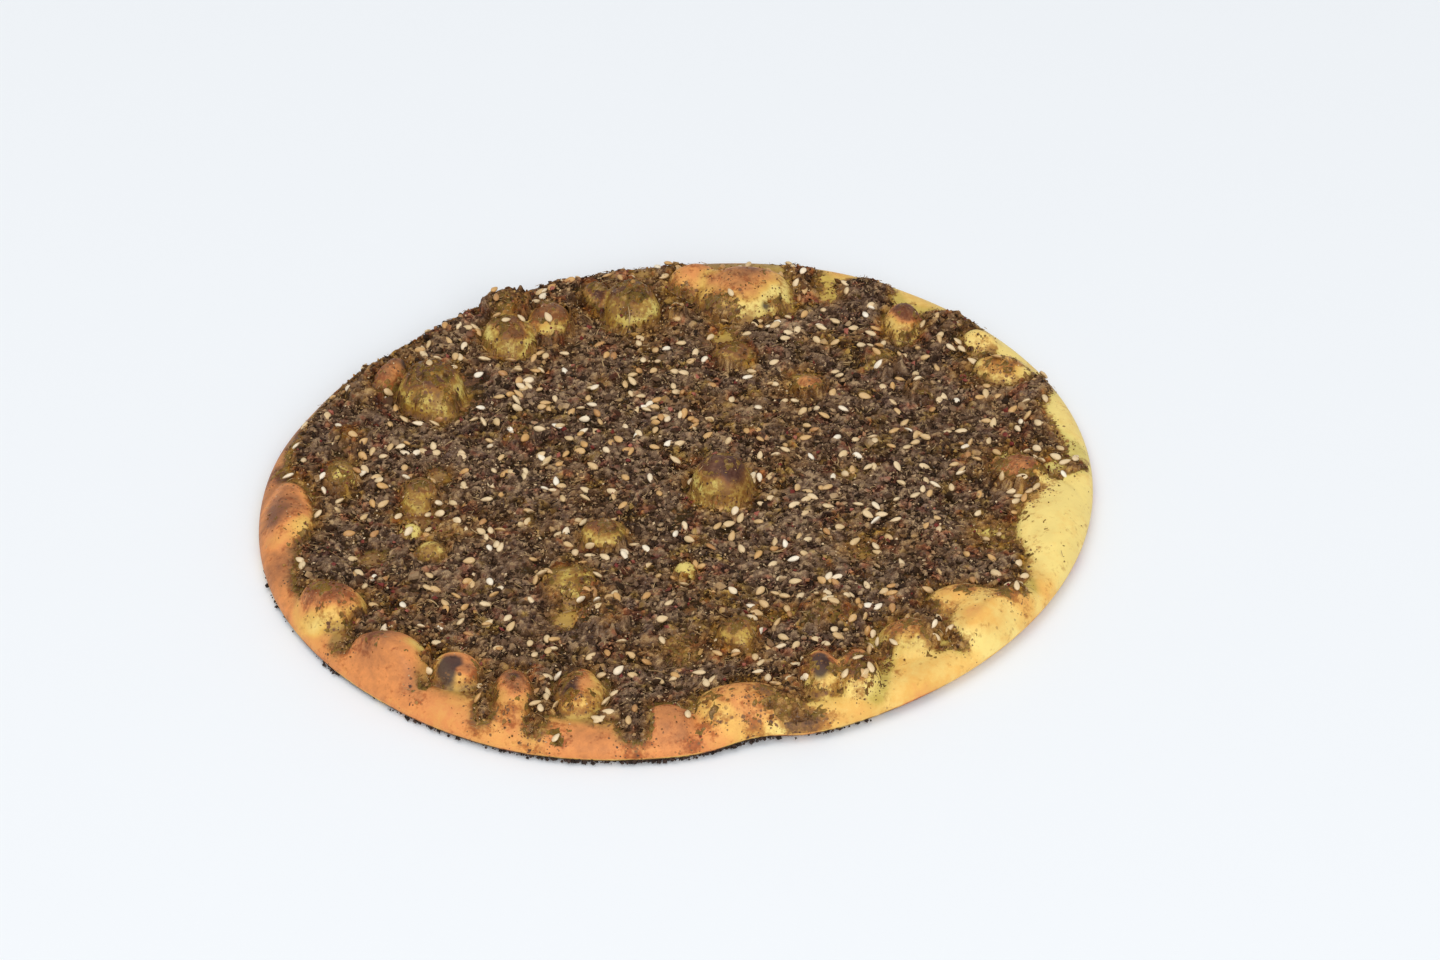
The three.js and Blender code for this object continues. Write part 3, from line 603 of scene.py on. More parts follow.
# Colours by a number: stops of (place, colour).
BAKE_STEPS = (0.0, 0.22, 0.45, 0.7, 0.95)
TONE_STEPS = (0.05, 0.35, 0.68, 0.98)
CRUST_STOPS = list(zip(BAKE_STEPS, (PALE_DOUGH, GOLDEN_DOUGH, ORANGE_CRUST, BROWN_CRUST, DARK_CRUST)))
OILY_STOPS = list(zip(BAKE_STEPS, (OILY_PALE, OILY_GOLDEN, OILY_TAN, OILY_BROWN, DARK_CRUST)))
GREY_STOPS = list(zip(TONE_STEPS, (CRUMB_BLACK_AND_HOLLOW_SHADE, CRUMB_DARK, CRUMB_BROWN, CRUMB_TAN)))
BROWN_STOPS = list(zip(TONE_STEPS, (WARM_BLACK, WARM_DARK, WARM_BROWN, WARM_TAN)))
FILM_STOPS = [(0.35, FILM_DARK), (0.62, FILM_BROWN)]
DOT_STOPS = [(0, FILM_DARK), (0.5, FILM_BROWN), (1.0, WARM_BROWN)]
STEM_STOPS = [(0.0, STEM_PALE), (1.0, STEM_BROWN)]
FLECK_AND_GLINT_STOPS = [(0.0, STEM_BROWN), (0.4, FLECK_TAN), (1.0, FLECK_AND_GLINT_CREAM)]
SUMAC_STOPS = [(0.0, WARM_DARK), (0.3, SUMAC_RED), (0.7, SUMAC_RED), (1.0, SUMAC_PINK)]
BURNT_STOPS = [(0.0, BURNT_BLACK), (1.0, BURNT_BROWN)]
SEED_STEPS = (0.0, 0.16, 0.55, 0.9, 1.0)
SEED_STOPS = list(zip(SEED_STEPS, (SEED_WHITE, SEED_CREAM, SEED_TAN, SEED_GOLD, SEED_BROWN)))

# ---------------------------------------------------------------- looks

# Each noise is its size in millimetres, its detail and its roughness. Each spread is the range of a
# number and the range that it is taken to. Each bump is its height in millimetres and its strength.
# Each swing is how much a noise, fine, middle or broad, changes the number that it is added to.
CRUST_ROUGHNESS = 0.46
CRUST_SPECULAR = 0.3
CRUST_NOISES = (0.5, 2.2, 9.0)
CRUST_SPECKLE = (0.9, 3.0)
CRUST_CLOUDY = (3.2, 4.0, 0.6)
BAKE_MIDDLE = 0.28
BAKE_FINE = 0.1
OIL_SWING = 0.5
BURN_SWING = 0.45
FILM_CLOUDY = 1.7
FILM_SPECKLE = 0.9
FILM_FINE = 0.8
CRUST_OILED = (0.1, 0.85)
CRUST_SHINY = (0.5, 1.2, 0, 0.35)
CRUST_SHINY_PATCHES = (0.4, 0.65)
CRUST_BURNT = (0.25, 0.85, 0, 0.93)
CRUST_FILMED = (0.12, 0.6, 0, 0.9)
CRUST_COVERED = (0.5, 1.05, 0, 0.9)
CRUST_MOTTLED = (0.3, 0.7, 0.94, 1.03)
CRUST_ROUGH = (0.2, 1.2, 0.55, 0.38)
CRUST_FINE_RELIEF = 0.35
CRUST_BUMP = (0.28, 0.6)

# Dots of loose zaatar: their cells' size with the share of the cells, how surely one is there, its
# radius, how ragged it is and how soft its edge is.
DOT_SIZES = ((1.3, 0.7), (0.9, 0.9), (0.55, 1.0))
DOT_PRESENT = (-0.005, 0.06)
DOT_RADII = (0.16, 0.46)
DOT_RAGGED = 0.5
DOT_RAGGED_SIZE = 0.5
DOT_RAGGED_DETAIL = 2.0
DOT_EDGE = (-0.04, 0.14)

# Zaatar: how brown it is, and patches that are redder, more olive and duskier.
WARM_NOISE = (3.0, 3.0)
WARM_SWING = 0.8
WARM_SPREAD = (0.1, 0.9)
ZAATAR_TINTS = ((6.0, SUMAC_TINT), (8.0, OLIVE_TINT), (4.6, DUSKY_TINT))
TINT_NOISE = (3.0, 0.65)
TINT_SPREAD = (0.52, 0.66, 0, 0.8)

# The paste: its fine, middle and broad mottling, its glints and its flecks of sumac.
PASTE_ROUGHNESS = 0.6
PASTE_NOISES = ((0.35, 3.0), (1.3,), (14.0, 3.0), (0.6, 2.0), (3.4, 2.0))
PASTE_FINE = 0.8
PASTE_BROAD = 0.5
THIN_SWING = 0.9
PASTE_SHINE = (0.55, 0.7, 0.1, 0.7)
PASTE_ROUGH = (0.5, 0.7, 0.7, 0.35)
PASTE_THIN = (0.5, 1.1, 0, 0.7)
PASTE_RED = (0.66, 0.74, 0, 0.4)
# How much the painted shade in the coat's hollows darkens it.
PASTE_HOLLOW_SHADE = (0.3, 1.0, 0, 0.85)
PASTE_BUMP = (0.35, 0.9)

# Scattered bits: their roughness, and how shiny and how finely mottled they are.
ZAATAR_CRUMB_ROUGHNESS = 0.65
LEAF_ROUGHNESS = 0.55
STEM_ROUGHNESS = 0.6
FLECK_ROUGHNESS = 0.5
BURNT_ROUGHNESS = 0.8
BITS_LOOK = (0.25, 0.25)
ZAATAR_BITS_LOOK = (0.15, 0.3)
BITS_FINE = (0.3, 3.0)
BITS_MIDDLE = (1.1,)
BITS_SWING = 0.25
BITS_MOTTLED = (0.3, 0.7)
BITS_ROUGH = 0.1
BITS_BUMP = (0.15, 0.7)

SEED_HULL_ROUGHNESS = 0.36
SEED_FINE = (0.25, 3.0)
SEED_MIDDLE = (1.2,)
SEED_TONE_SWING = 0.12
SEED_TIP_SWING = 0.2
SEED_STAIN_AND_SHADE_SWING = 0.9
SEED_TIP = (0.72, 1.0, 0, 0.45)
SEED_STAINED_AND_SHADED = (0.35, 0.8, 0, 0.75)
SEED_BUMP = (0.06, 0.5)

FLOOR_ROUGHNESS = 0.9
FLOOR_NOISE = (40.0, 2.0)
FLOOR_SPREAD = (0.2, 0.8, 0.0, 0.02)
FLOOR_SIZE = 8.0

# ---------------------------------------------------------------- camera and light

CAMERA_ELEVATION = 38.0
CAMERA_DISTANCE = 1000.0
CAMERA_LENS = 98.75
CAMERA_TARGET = (10.4, 8.8, 0.0)
CAMERA_SENSOR = 36.0
CAMERA_CLIP = (0.05, 20.0)

SKY_COLOUR = (0.93, 0.97, 1.0, 1.0)
SKY_STRENGTH = 0.56

# Lamps: place and size in metres, power in watts and linear colour.
Light = namedtuple("Light", "name place size power colour")
LIGHTS = table(
    Light,
    ("key", (-1.0, 0.1, 3.0), 2.8, 27.0, (1.0, 0.99, 0.975)),
    ("fill", (0.6, -2.6, 1.9), 3.0, 63.0, (1.0, 0.995, 0.985)),
)

# ---------------------------------------------------------------- noise


def smooth_step(t):
    held = np.clip(t, 0, 1)
    return held * held * (3 - 2 * held)


# Large numbers that mix a cell's own numbers into one that looks random.
AXIS_MIXERS = (374761393, 668265263, 1442695041)
DRAW_MIXER = 2246822519
BIT_MIXER = 1274126177
MIXER_SIZE = 2**32
MIXER_SHIFTS = (13, 16)

# A grain's own number is drawn this far after the numbers of its place.
GRAIN_NUMBER_DRAW = 7

# Each finer layer of noise is turned by this angle's cosine and sine.
LAYER_TURN = (0.8, 0.6)


def hashed(cells, draw):
    """A repeatable random number from 0 to 1 for each cell, given by its two or three numbers."""
    n = draw * DRAW_MIXER
    for axis in range(cells.shape[-1]):
        n = n + cells[..., axis] * AXIS_MIXERS[axis]
    n = n % MIXER_SIZE
    n = ((n ^ (n >> MIXER_SHIFTS[0])) * BIT_MIXER) % MIXER_SIZE
    return (n ^ (n >> MIXER_SHIFTS[1])) / MIXER_SIZE


def smooth_noise(places, draw):
    """Smooth noise from -1 to 1, whose hills are about 1 wide, in the plane or in space."""
    cell = np.floor(places).astype(np.int64)
    share = smooth_step(places - cell)
    total = np.zeros(places.shape[:-1])
    for corner in itertools.product((0, 1), repeat=places.shape[-1]):
        weight = np.ones(places.shape[:-1])
        for axis, far in enumerate(corner):
            weight = weight * (share[..., axis] if far else 1 - share[..., axis])
        total += weight * hashed(cell + np.array(corner), draw)
    return 2 * total - 1


def uneven(kind, x, y, z=None):
    """Smooth noise with finer and weaker noise laid over it, from about -amount to amount."""
    cos, sin = LAYER_TURN
    total = np.zeros_like(x)
    for layer in range(kind.layers):
        x, y = x * cos - y * sin, x * sin + y * cos
        places = np.stack([x, y] if z is None else [x, y, z], axis=-1)
        total += smooth_noise(places * (2**layer / kind.scale), kind.draw + layer) / 2**layer
    return kind.amount * (total / (2 - 2 ** (1 - kind.layers)))


def nearest_grain(places, size, draw):
    """For each place, how far the nearest grain's middle is, in sizes, and that grain's number."""
    scaled = places / size
    cell = np.floor(scaled).astype(np.int64)
    nearest = np.full(places.shape[:-1], np.inf)
    number = np.zeros(places.shape[:-1])
    for step in itertools.product((-1, 0, 1), repeat=places.shape[-1]):
        near = cell + np.array(step)
        away = np.zeros(places.shape[:-1])
        for axis in range(places.shape[-1]):
            away += (near[..., axis] + hashed(near, draw + axis) - scaled[..., axis]) ** 2
        closer = away < nearest
        nearest = np.where(closer, away, nearest)
        number = np.where(closer, hashed(near, draw + GRAIN_NUMBER_DRAW), number)
    return np.sqrt(nearest), number


# ---------------------------------------------------------------- the bread's shape


def changes_at(changes, angle):
    total = np.zeros_like(angle)
    for at, spread, out in changes:
        away = (angle - at + 540) % 360 - 180
        total += out * np.exp(-((away / spread) ** 2))
    return total


def outline_radius(angle):
    turned = np.radians(angle - OUTLINE_TURN)
    ellipse = 1 / np.hypot(np.cos(turned) / LONG_RADIUS, np.sin(turned) / SHORT_RADIUS)
    return ellipse + changes_at(OUTLINE_SWELLS, angle)


def outline_point(angle, share=1.0):
    radius = outline_radius(angle) * share
    return radius * np.cos(np.radians(angle)), radius * np.sin(np.radians(angle))


def angle_and_inset(x, y):
    angle = np.degrees(np.arctan2(y, x)) % 360
    return angle, outline_radius(angle) - np.hypot(x, y)


def outline_centre():
    """The middle of the outline's box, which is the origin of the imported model's frame."""
    x, y = outline_point(np.arange(OUTLINE_STEPS) * 360 / OUTLINE_STEPS)
    return (x.min() + x.max()) / 2, (y.min() + y.max()) / 2


def warped(x, y):
    """The place from which the bubbles are read, so that they aren't perfect ellipses."""
    return x + uneven(WARP_ACROSS, x, y), y + uneven(WARP_ALONG, x, y)


def reach_in_bubble(bubble, x, y):
    """How far out a place is in a bubble, where 1 is its foot."""
    turn = math.radians(bubble.turn)
    across, along = x - bubble.x, y - bubble.y
    first = across * math.cos(turn) + along * math.sin(turn)
    second = along * math.cos(turn) - across * math.sin(turn)
    return np.hypot(first / bubble.rx, second / bubble.ry)


def inside_bubble(bubble, x, y, edge):
    """1 in a bubble and 0 outside it, by an edge that is (its start, its width) in the radii."""
    start, width = edge
    return 1 - smooth_step((reach_in_bubble(bubble, x, y) - start) / width)


def bubble_height(x, y):
    total = np.zeros_like(x)
    for bubble in BUBBLES:
        inside = np.clip(1 - reach_in_bubble(bubble, x, y) ** 2, 0, 1)
        total += (bubble.height * inside**BUBBLE_ROUNDNESS) ** BUBBLE_JOIN
    return total ** (1 / BUBBLE_JOIN)


def wave_height(x, y):
    total = np.zeros_like(x)
    for height, along, across, start in WAVES:
        first = np.sin(along[0] * x + along[1] * y + start[0])
        total += height * first * np.sin(across[0] * x + across[1] * y + start[1])
    return total


def spots_at(spots, x, y):
    """The sum of round soft-edged spots."""
    total = np.zeros_like(x)
    for spot in spots:
        total += spot.amount * np.exp(-(((x - spot.x) ** 2 + (y - spot.y) ** 2) / spot.radius**2))
    return total


def rim_lift(angle):
    return RIM_LIFT + changes_at(RIM_CURLS, angle)


def bread_top(x, y):
    angle, inset = angle_and_inset(x, y)
    from_crest = np.clip(1 - inset / RIM_WIDTH, 0, 1)
    rounded = EDGE_HEIGHT + (RIM_HEIGHT - EDGE_HEIGHT) * np.sqrt(1 - from_crest**2)
    sunk = (RIM_HEIGHT - MIDDLE_HEIGHT) * smooth_step((inset - RIM_WIDTH) / RIM_FADE)
    lifted = rim_lift(angle) * (1 - smooth_step(inset / FOOT_INSET))
    inside = smooth_step(inset / RIM_WIDTH)
    relief = uneven(CRUST_RELIEF, x, y) + uneven(CRUST_WRINKLES, x, y) - spots_at(DIMPLES, x, y)
    raised = bubble_height(*warped(x, y)) + wave_height(x, y) + relief
    return rounded - sunk + lifted + inside * raised


def slope_of(height, x, y):
    """The unit direction square to a surface that is given by its height."""
    rise_x = (height(x + SLOPE_STEP, y) - height(x - SLOPE_STEP, y)) / (2 * SLOPE_STEP)
    rise_y = (height(x, y + SLOPE_STEP) - height(x, y - SLOPE_STEP)) / (2 * SLOPE_STEP)
    normal = np.stack([-rise_x, -rise_y, np.ones_like(rise_x)], axis=-1)
    return normal / np.linalg.norm(normal, axis=-1, keepdims=True)


# ---------------------------------------------------------------- where the paste lies


def fall_off(distance, reach):
    """1 up to a distance of 0, falling off with it."""
    return np.exp(-np.clip(distance, 0, None) / reach)


def distance_to_segment(x, y, start, end):
    run_x, run_y = end[0] - start[0], end[1] - start[1]
    share = ((x - start[0]) * run_x + (y - start[1]) * run_y) / (run_x**2 + run_y**2)
    share = np.clip(share, 0, 1)
    return np.hypot(x - start[0] - share * run_x, y - start[1] - share * run_y)


def margin_at(angle):
    """How wide the bare margin is."""
    return np.maximum(MARGIN + changes_at(MARGIN_CHANGES, angle), MARGIN_LEAST)


def paste_reach(x, y):
    """About how far a place is inside the paste's edge, and negative outside it."""
    angle, inset = angle_and_inset(x, y)
    reach = inset - margin_at(angle)
    bubble_x, bubble_y = warped(x, y)
    for bubble in BUBBLES:
        if bubble.bare > 0:
            outside = reach_in_bubble(bubble, bubble_x, bubble_y) - bubble.bare
            reach = np.minimum(reach, outside * min(bubble.rx, bubble.ry))
    for tongue in TONGUES:
        reach = np.maximum(reach, tongue.half - distance_to_segment(x, y, tongue.start, tongue.end))
    return np.minimum(reach, inset - MARGIN_LEAST)


def crown_place(x, y):
    """The place from which crowns are read, so that a crown's edge is uneven."""
    x, y = warped(x, y)
    return x + uneven(CROWN_ACROSS, x, y), y + uneven(CROWN_ALONG, x, y)


def crown_share(bubble, x, y):
    """1 on a bubble's crown, 0 on its skirt. The crown is a little behind the bubble's middle."""
    return inside_bubble(bubble, x, y - CROWN_BACK * bubble.ry, CROWN_EDGE)


def thick_share(x, y):
    """1 where the paste isn't thin, falling to 0 in its thinnest places and on the crust by them."""
    return 1 - np.clip(spots_at(THIN_SPOTS, x, y), 0, 1)


def dust_at(x, y):
    """How much of bare crust loose zaatar hides, from 0 to 1."""
    near = fall_off(-paste_reach(x, y), DUST_REACH) * thick_share(x, y)
    total = DUST_LEAST + (DUST_AT_EDGE - DUST_LEAST) * near
    crown_x, crown_y = crown_place(x, y)
    for bubble in BUBBLES:
        skirt = DUST_OF_OIL * bubble.oil * (reach_in_bubble(bubble, crown_x, crown_y) < 1)
        crown = bubble.dust * crown_share(bubble, crown_x, crown_y)
        total = np.maximum(total, np.maximum(crown, skirt))
    return np.clip(np.maximum(total, spots_at(DUST_SPOTS, x, y)), 0, 1)


def show_at(x, y):
    """How much of the dough shows through the paste, on low bubbles and where it is thin."""
    total = spots_at(THIN_SPOTS, x, y)
    bubble_x, bubble_y = crown_place(x, y)
    for bubble in BUBBLES:
        if bubble.bare < SHOW_UNDER_BARE:
            inside = inside_bubble(bubble, bubble_x, bubble_y, SHOW_EDGE)
            total = np.maximum(total, (1 - bubble.dust) * inside)
    patches = np.clip(EDGE_SHOW_USUAL + uneven(EDGE_SHOW_PATCHES, x, y), 0, 1)
    near_edge = smooth_step(1 - paste_reach(x, y) / EDGE_SHOW_REACH)
    return np.clip(np.maximum(total, EDGE_SHOW * patches * near_edge), 0, 1)


def warmth_at(x, y):
    """How brown rather than grey the zaatar is: near bubbles, edges and thin places."""
    edge = np.exp(-np.abs(paste_reach(x, y)) / WARMTH_REACH)
    thin = WARMTH_OF_THIN * show_at(x, y)
    patches = uneven(WARM_PATCHES, x, y)
    return np.clip(WARMTH_LEAST + WARMTH_AT_EDGE * edge + thin + patches, 0, 1)


# ---------------------------------------------------------------- the coat's shape


def pit_at(x, y):
    """1 in the middle of a small dark gap between clots, falling to 0 round it."""
    away, number = nearest_grain(np.stack([x, y], axis=-1), PIT_SPACING, PIT_DRAW)
    return (number < PIT_SHARE) * np.exp(-((away * PIT_SPACING / PIT_RADIUS) ** 2))


def ragged_reach(x, y, z, stretch=1.0):
    """How far a place is inside the coat's uneven edge, measured along the dough."""
    return paste_reach(x, y) * stretch + uneven(COAT_RAGGED, x, y, z)


def grain_relief(kind, places):
    """How high grains stand over their level, and each place's grain's number."""
    away, number = nearest_grain(places, kind.size, kind.draw)
    round_top = np.sqrt(np.clip(1 - away**2, 0, 1))
    return kind.height * (round_top * (kind.least + number) - kind.level), number


def coat_parts(x, y, z, stretch):
    """The coat's height over the crust, negative where it is sunk, its grains and its relief."""
    places = np.stack([x, y, z], axis=-1)
    held_stretch = np.minimum(stretch, STEEPEST_STRETCH)
    reach = ragged_reach(x, y, z, held_stretch) + uneven(COAT_FRAYED, x, y, z)
    body = np.clip(reach / COAT_EDGE_WIDTH, -1, 1)
    clots, clot_number = grain_relief(CLOTS, places)
    fine, grain_number = grain_relief(GRAINS, places)
    pits = PIT_DEPTH * pit_at(x, y) + spots_at(GAPS, x, y)
    relief = uneven(COAT_LUMPS, x, y) + clots + fine - pits
    thickness = COAT_THICKNESS * body + relief * np.clip(body, LEAST_RELIEF, 1)
    thickness -= SHOW_DEPTH * show_at(x, y) * np.clip(body, 0, 1)
    scattered = LOOSE_LEVEL + uneven(LOOSE_PATCHES, x, y, z)
    loose = LOOSE_HEIGHT * (LOOSE_SHARE * dust_at(x, y) - scattered) + LOOSE_GRAINS * fine
    thickness = np.maximum(thickness, np.minimum(loose, COAT_THICKNESS))
    thickness *= np.where(thickness > 0, held_stretch, stretch)
    return thickness, clot_number, grain_number, relief


def coat_top(x, y):
    """The height of the dough or of the coat on it, without the coat's grains."""
    body = np.clip(paste_reach(x, y) / COAT_EDGE_WIDTH, 0, 1)
    thickness = COAT_THICKNESS + uneven(COAT_LUMPS, x, y) - SHOW_DEPTH * show_at(x, y)
    return bread_top(x, y) + np.maximum(thickness, 0) * body


def film_at(x, y, stretch):
    """How much of the bare crust a brown film covers, from 0 to 1: oil and fine zaatar, and painted shade
    at oily bubbles' feet.
    """
    reach = paste_reach(x, y)
    near = FILM_AT_EDGE * fall_off(-reach * stretch, FILM_REACH) * thick_share(x, y)
    bare = np.maximum(near, FILM_OF_DUST * dust_at(x, y))
    # At oily bubbles' feet this film is partly painted shade where the paste meets the bubble.
    foot = FILM_AND_SHADE_AT_FOOT * fall_off(-reach * stretch, FILM_AND_SHADE_FOOT_REACH)
    bubble_x, bubble_y = warped(x, y)
    for bubble in BUBBLES:
        oily = bubble.oil * inside_bubble(bubble, bubble_x, bubble_y, OILY_EDGE)
        bare = np.maximum(bare, np.maximum(FILM_OF_OIL, foot) * oily)
    inside = smooth_step(reach / FILM_FADE + 0.5)
    return np.clip(bare * (1 - inside) + (1 - show_at(x, y)) * inside, 0, 1)


# ---------------------------------------------------------------- meshes


def mesh_piece(name, points, faces, material, attributes, smooth=True):
    """A mesh object from points in plan millimetres, with numbers for its points by name."""
    centre_x, centre_y = outline_centre()
    moved = (np.asarray(points) - (centre_x, centre_y, 0)) * MM
    mesh = bpy.data.meshes.new(name)
    mesh.from_pydata(moved, [], faces)
    for key, values in attributes.items():
        layer = mesh.attributes.new(key, "FLOAT", "POINT")
        layer.data.foreach_set("value", np.asarray(values, np.float32).ravel())
    if smooth:
        mesh.shade_smooth()
    mesh.materials.append(material)
    piece = bpy.data.objects.new(name, mesh)
    bpy.context.scene.collection.objects.link(piece)
    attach(piece, "root")
    return piece


def ring_band(outer, outer_count, inner, inner_count):
    """Triangles between two rings of points, where the inner has as many points or half."""
    step = np.arange(inner_count)
    following = (step + 1) % inner_count
    if outer_count == inner_count:
        bands = [
            (outer + step, outer + following, inner + following),
            (outer + step, inner + following, inner + step),
        ]
    else:
        first, middle, last = outer + 2 * step, outer + 2 * step + 1, outer + 2 * following
        bands = [
            (first, middle, inner + step),
            (middle, inner + following, inner + step),
            (middle, last, inner + following),
        ]
    return np.concatenate([np.stack(band, 1) for band in bands])


def ring_insets(rim, spacing):
    """The insets of all rings of a face: those at the rim, then evenly to the middle."""
    return rim + list(np.arange(rim[-1] + spacing, NOMINAL_RADIUS - spacing / 2, spacing))


def points_in_ring(inset):
    halvings = sum(1 - inset / NOMINAL_RADIUS <= share for share in RING_HALVINGS)
    return RING_POINTS // 2**halvings


def under_height(angle, inset):
    """The underside: it rounds in from the outline, sinks to the foot and is flat inside that."""
    lift = rim_lift(angle)
    round_in = EDGE_HEIGHT * (1 - np.sqrt(1 - np.clip(1 - inset / EDGE_UNDERCUT, 0, 1) ** 2))
    sinking = 1 - np.clip((inset - EDGE_UNDERCUT) / (FOOT_INSET - EDGE_UNDERCUT), 0, 1)
    return round_in + lift * sinking


def under_hollow(x, y, inset):
    """How deep the shallow hollows in the baked underside are."""
    inside = smooth_step(inset / UNDER_HOLLOW_INSET - 1)
    return UNDER_HOLLOW_DEPTH * inside * np.clip(uneven(UNDER_HOLLOWS, x, y), 0, 1)


def bread_mesh():
    """The points of the whole bread, its triangles and how many of the points are on top."""
    points, faces = [], []
    rings = []
    count = 0
    top = ring_insets(RIM_RING_INSETS, RING_SPACING)
    under = ring_insets(UNDER_RING_INSETS, UNDER_RING_SPACING)
    for is_top, insets in ((True, top), (False, under)):
        rings = rings[:1]
        for inset in insets:
            number = points_in_ring(inset)
            angle = np.arange(number) * 360 / number
            x, y = outline_point(angle, 1 - inset / NOMINAL_RADIUS)
            true_inset = angle_and_inset(x, y)[1].clip(0)
            if is_top:
                z = bread_top(x, y)
            else:
                z = under_height(angle, true_inset) + under_hollow(x, y, true_inset)
            points.append(np.stack([x, y, z], 1))
            rings.append((count, number))
            count += number
        for (outer, outer_count), (inner, inner_count) in zip(rings, rings[1:]):
            band = ring_band(outer, outer_count, inner, inner_count)
            faces.append(band if is_top else band[:, ::-1])
        last, last_count = rings[-1]
        step = np.arange(last_count)
        fan = np.stack([last + step, last + (step + 1) % last_count, np.full(last_count, count)], 1)
        faces.append(fan if is_top else fan[:, ::-1])
        centre = bread_top(np.zeros(1), np.zeros(1))[0] if is_top else 0.0
        points.append(np.array([[0.0, 0.0, centre]]))
        count += 1
        if is_top:
            top_count = count
    return np.concatenate(points), np.concatenate(faces), top_count


def oil_at(x, y):
    """How oily the crust is: under and beside the paste, less on clean bubbles."""
    angle, inset = angle_and_inset(x, y)
    oil = fall_off(margin_at(angle) - inset, OIL_REACH)
    for tongue in TONGUES:
        away = distance_to_segment(x, y, tongue.start, tongue.end) - tongue.half
        oil = np.maximum(oil, fall_off(away, TONGUE_OIL * OIL_REACH))
    foot = FOOT_OIL * fall_off(-paste_reach(x, y), FOOT_OIL_REACH)
    bubble_x, bubble_y = warped(x, y)
    for bubble in BUBBLES:
        inside = inside_bubble(bubble, bubble_x, bubble_y, OILY_EDGE)
        oil = oil * (1 - inside) + np.maximum(bubble.oil, foot) * inside
    return oil


def baked_at(x, y, angle, patchy):
    """How brown the crust is: the rim by its angle, each bubble by its crown and skirt, and spots."""
    bake = RIM_BAKE + changes_at(RIM_BAKE_CHANGES, angle) + RIM_PATCHES * patchy
    bubble_x, bubble_y = warped(x, y)
    crown_x, crown_y = crown_place(x, y)
    for bubble in BUBBLES:
        inside = inside_bubble(bubble, bubble_x, bubble_y, BAKED_EDGE)
        skirt = bubble.skirt * SKIRT_BAKE
        local = skirt + (bubble.crown - skirt) * crown_share(bubble, crown_x, crown_y)
        bake = bake * (1 - inside) + local * inside
    # The bake spots hold a painted highlight and a spot of painted shade on the front rim.
    return bake + (spots_at(BAKE_SPOTS, x, y) + ALL_PATCHES * patchy)


def burnt_edge_at(x, y, z, angle, inset):
    """How burnt the bottom of the rim is, most of all at the front."""
    starts = smooth_step((angle - BURNT_EDGE_FROM) / BURNT_EDGE_START)
    front = starts * smooth_step((BURNT_EDGE_TO - angle) / BURNT_EDGE_END)
    low = 1 - smooth_step((z - rim_lift(angle) - BURNT_EDGE_HEIGHT) / BURNT_EDGE_FADE)
    strength = BURNT_EDGE_LEAST + (1 - BURNT_EDGE_LEAST) * front
    patches = BURNT_EDGE_AMOUNT + uneven(BURNT_EDGE_PATCHES, x, y)
    return low * (inset < BURNT_EDGE_INSET) * strength * patches


def crust_numbers(points, top_count):
    """How baked, burnt, oily and dusted each point of the bread is, and how much film it has."""
    x, y, z = points.T
    angle, inset = angle_and_inset(x, y)
    patchy = uneven(BAKE_PATCHES, x, y)
    burn = np.maximum(spots_at(BURNT_SPOTS, x, y), burnt_edge_at(x, y, z, angle, inset))
    stretch = np.minimum(1 / slope_of(bread_top, x, y)[:, 2], STEEPEST_STRETCH)
    brown = smooth_step((uneven(UNDER_BROWNING, x, y) - UNDER_BROWN_FROM) / UNDER_BROWN_FADE)
    brown_patches = UNDER_BROWN_USUAL + UNDER_BROWN_PATCHES * patchy
    below = np.arange(len(x)) >= top_count
    oil = oil_at(x, y) * (OIL_USUAL + OIL_PATCHES * patchy)
    return {
        "bake": np.where(
            below, UNDER_BAKE + UNDER_BROWN * brown * brown_patches, baked_at(x, y, angle, patchy)
        ),
        "burn": np.clip(burn, 0, 1),
        "oil": np.where(below, UNDER_OIL, oil),
        "dust": np.where(below, UNDER_DUST, dust_at(x, y)),
        "film": np.where(below, 0, film_at(x, y, stretch)),
    }


def coat_meshes():
    """The coat as a fine grid where it shows, in a left and a right half."""
    half_width = LONG_RADIUS + COAT_STEP
    columns = np.arange(-half_width, half_width, COAT_STEP)
    x, y = np.meshgrid(columns, columns, indexing="ij")
    dough = bread_top(x, y)
    stretch = np.hypot(1, np.hypot(*np.gradient(dough, COAT_STEP)))
    thickness, clots, fine, relief = coat_parts(x, y, dough, stretch)
    shown = (thickness > COAT_SUNK) & (angle_and_inset(x, y)[1] > COAT_INSET)
    z = dough + np.maximum(thickness, COAT_SUNK)
    # Painted shade: where the coat's relief is low, between grains and in pits well inside the paste, it
    # is darkened.
    inside = smooth_step(paste_reach(x, y) / HOLLOW_SHADE_INSET)
    numbers = {
        "tone": FINE_TONE * fine + (1 - FINE_TONE) * clots,
        "hollow_shade": smooth_step((HOLLOW_SHADE_FROM - relief) / HOLLOW_SHADE_FADE) * inside,
        "thin": smooth_step((THIN_UNDER - thickness) / THIN_UNDER),
        "warm": warmth_at(x, y),
    }
    corners = shown[:-1, :-1] & shown[1:, :-1] & shown[1:, 1:] & shown[:-1, 1:]
    index = np.arange(x.size).reshape(x.shape)
    around = (index[:-1, :-1], index[1:, :-1], index[1:, 1:], index[:-1, 1:])
    for side, keep in (("left", columns[:-1] < 0), ("right", columns[:-1] >= 0)):
        cells = corners & keep[:, None]
        used, faces = np.unique(np.stack([corner[cells] for corner in around], 1), return_inverse=True)
        points = np.stack([x.ravel()[used], y.ravel()[used], z.ravel()[used]], 1)
        yield side, points, faces.reshape(-1, 4), {k: v.ravel()[used] for k, v in numbers.items()}


# ---------------------------------------------------------------- scattering


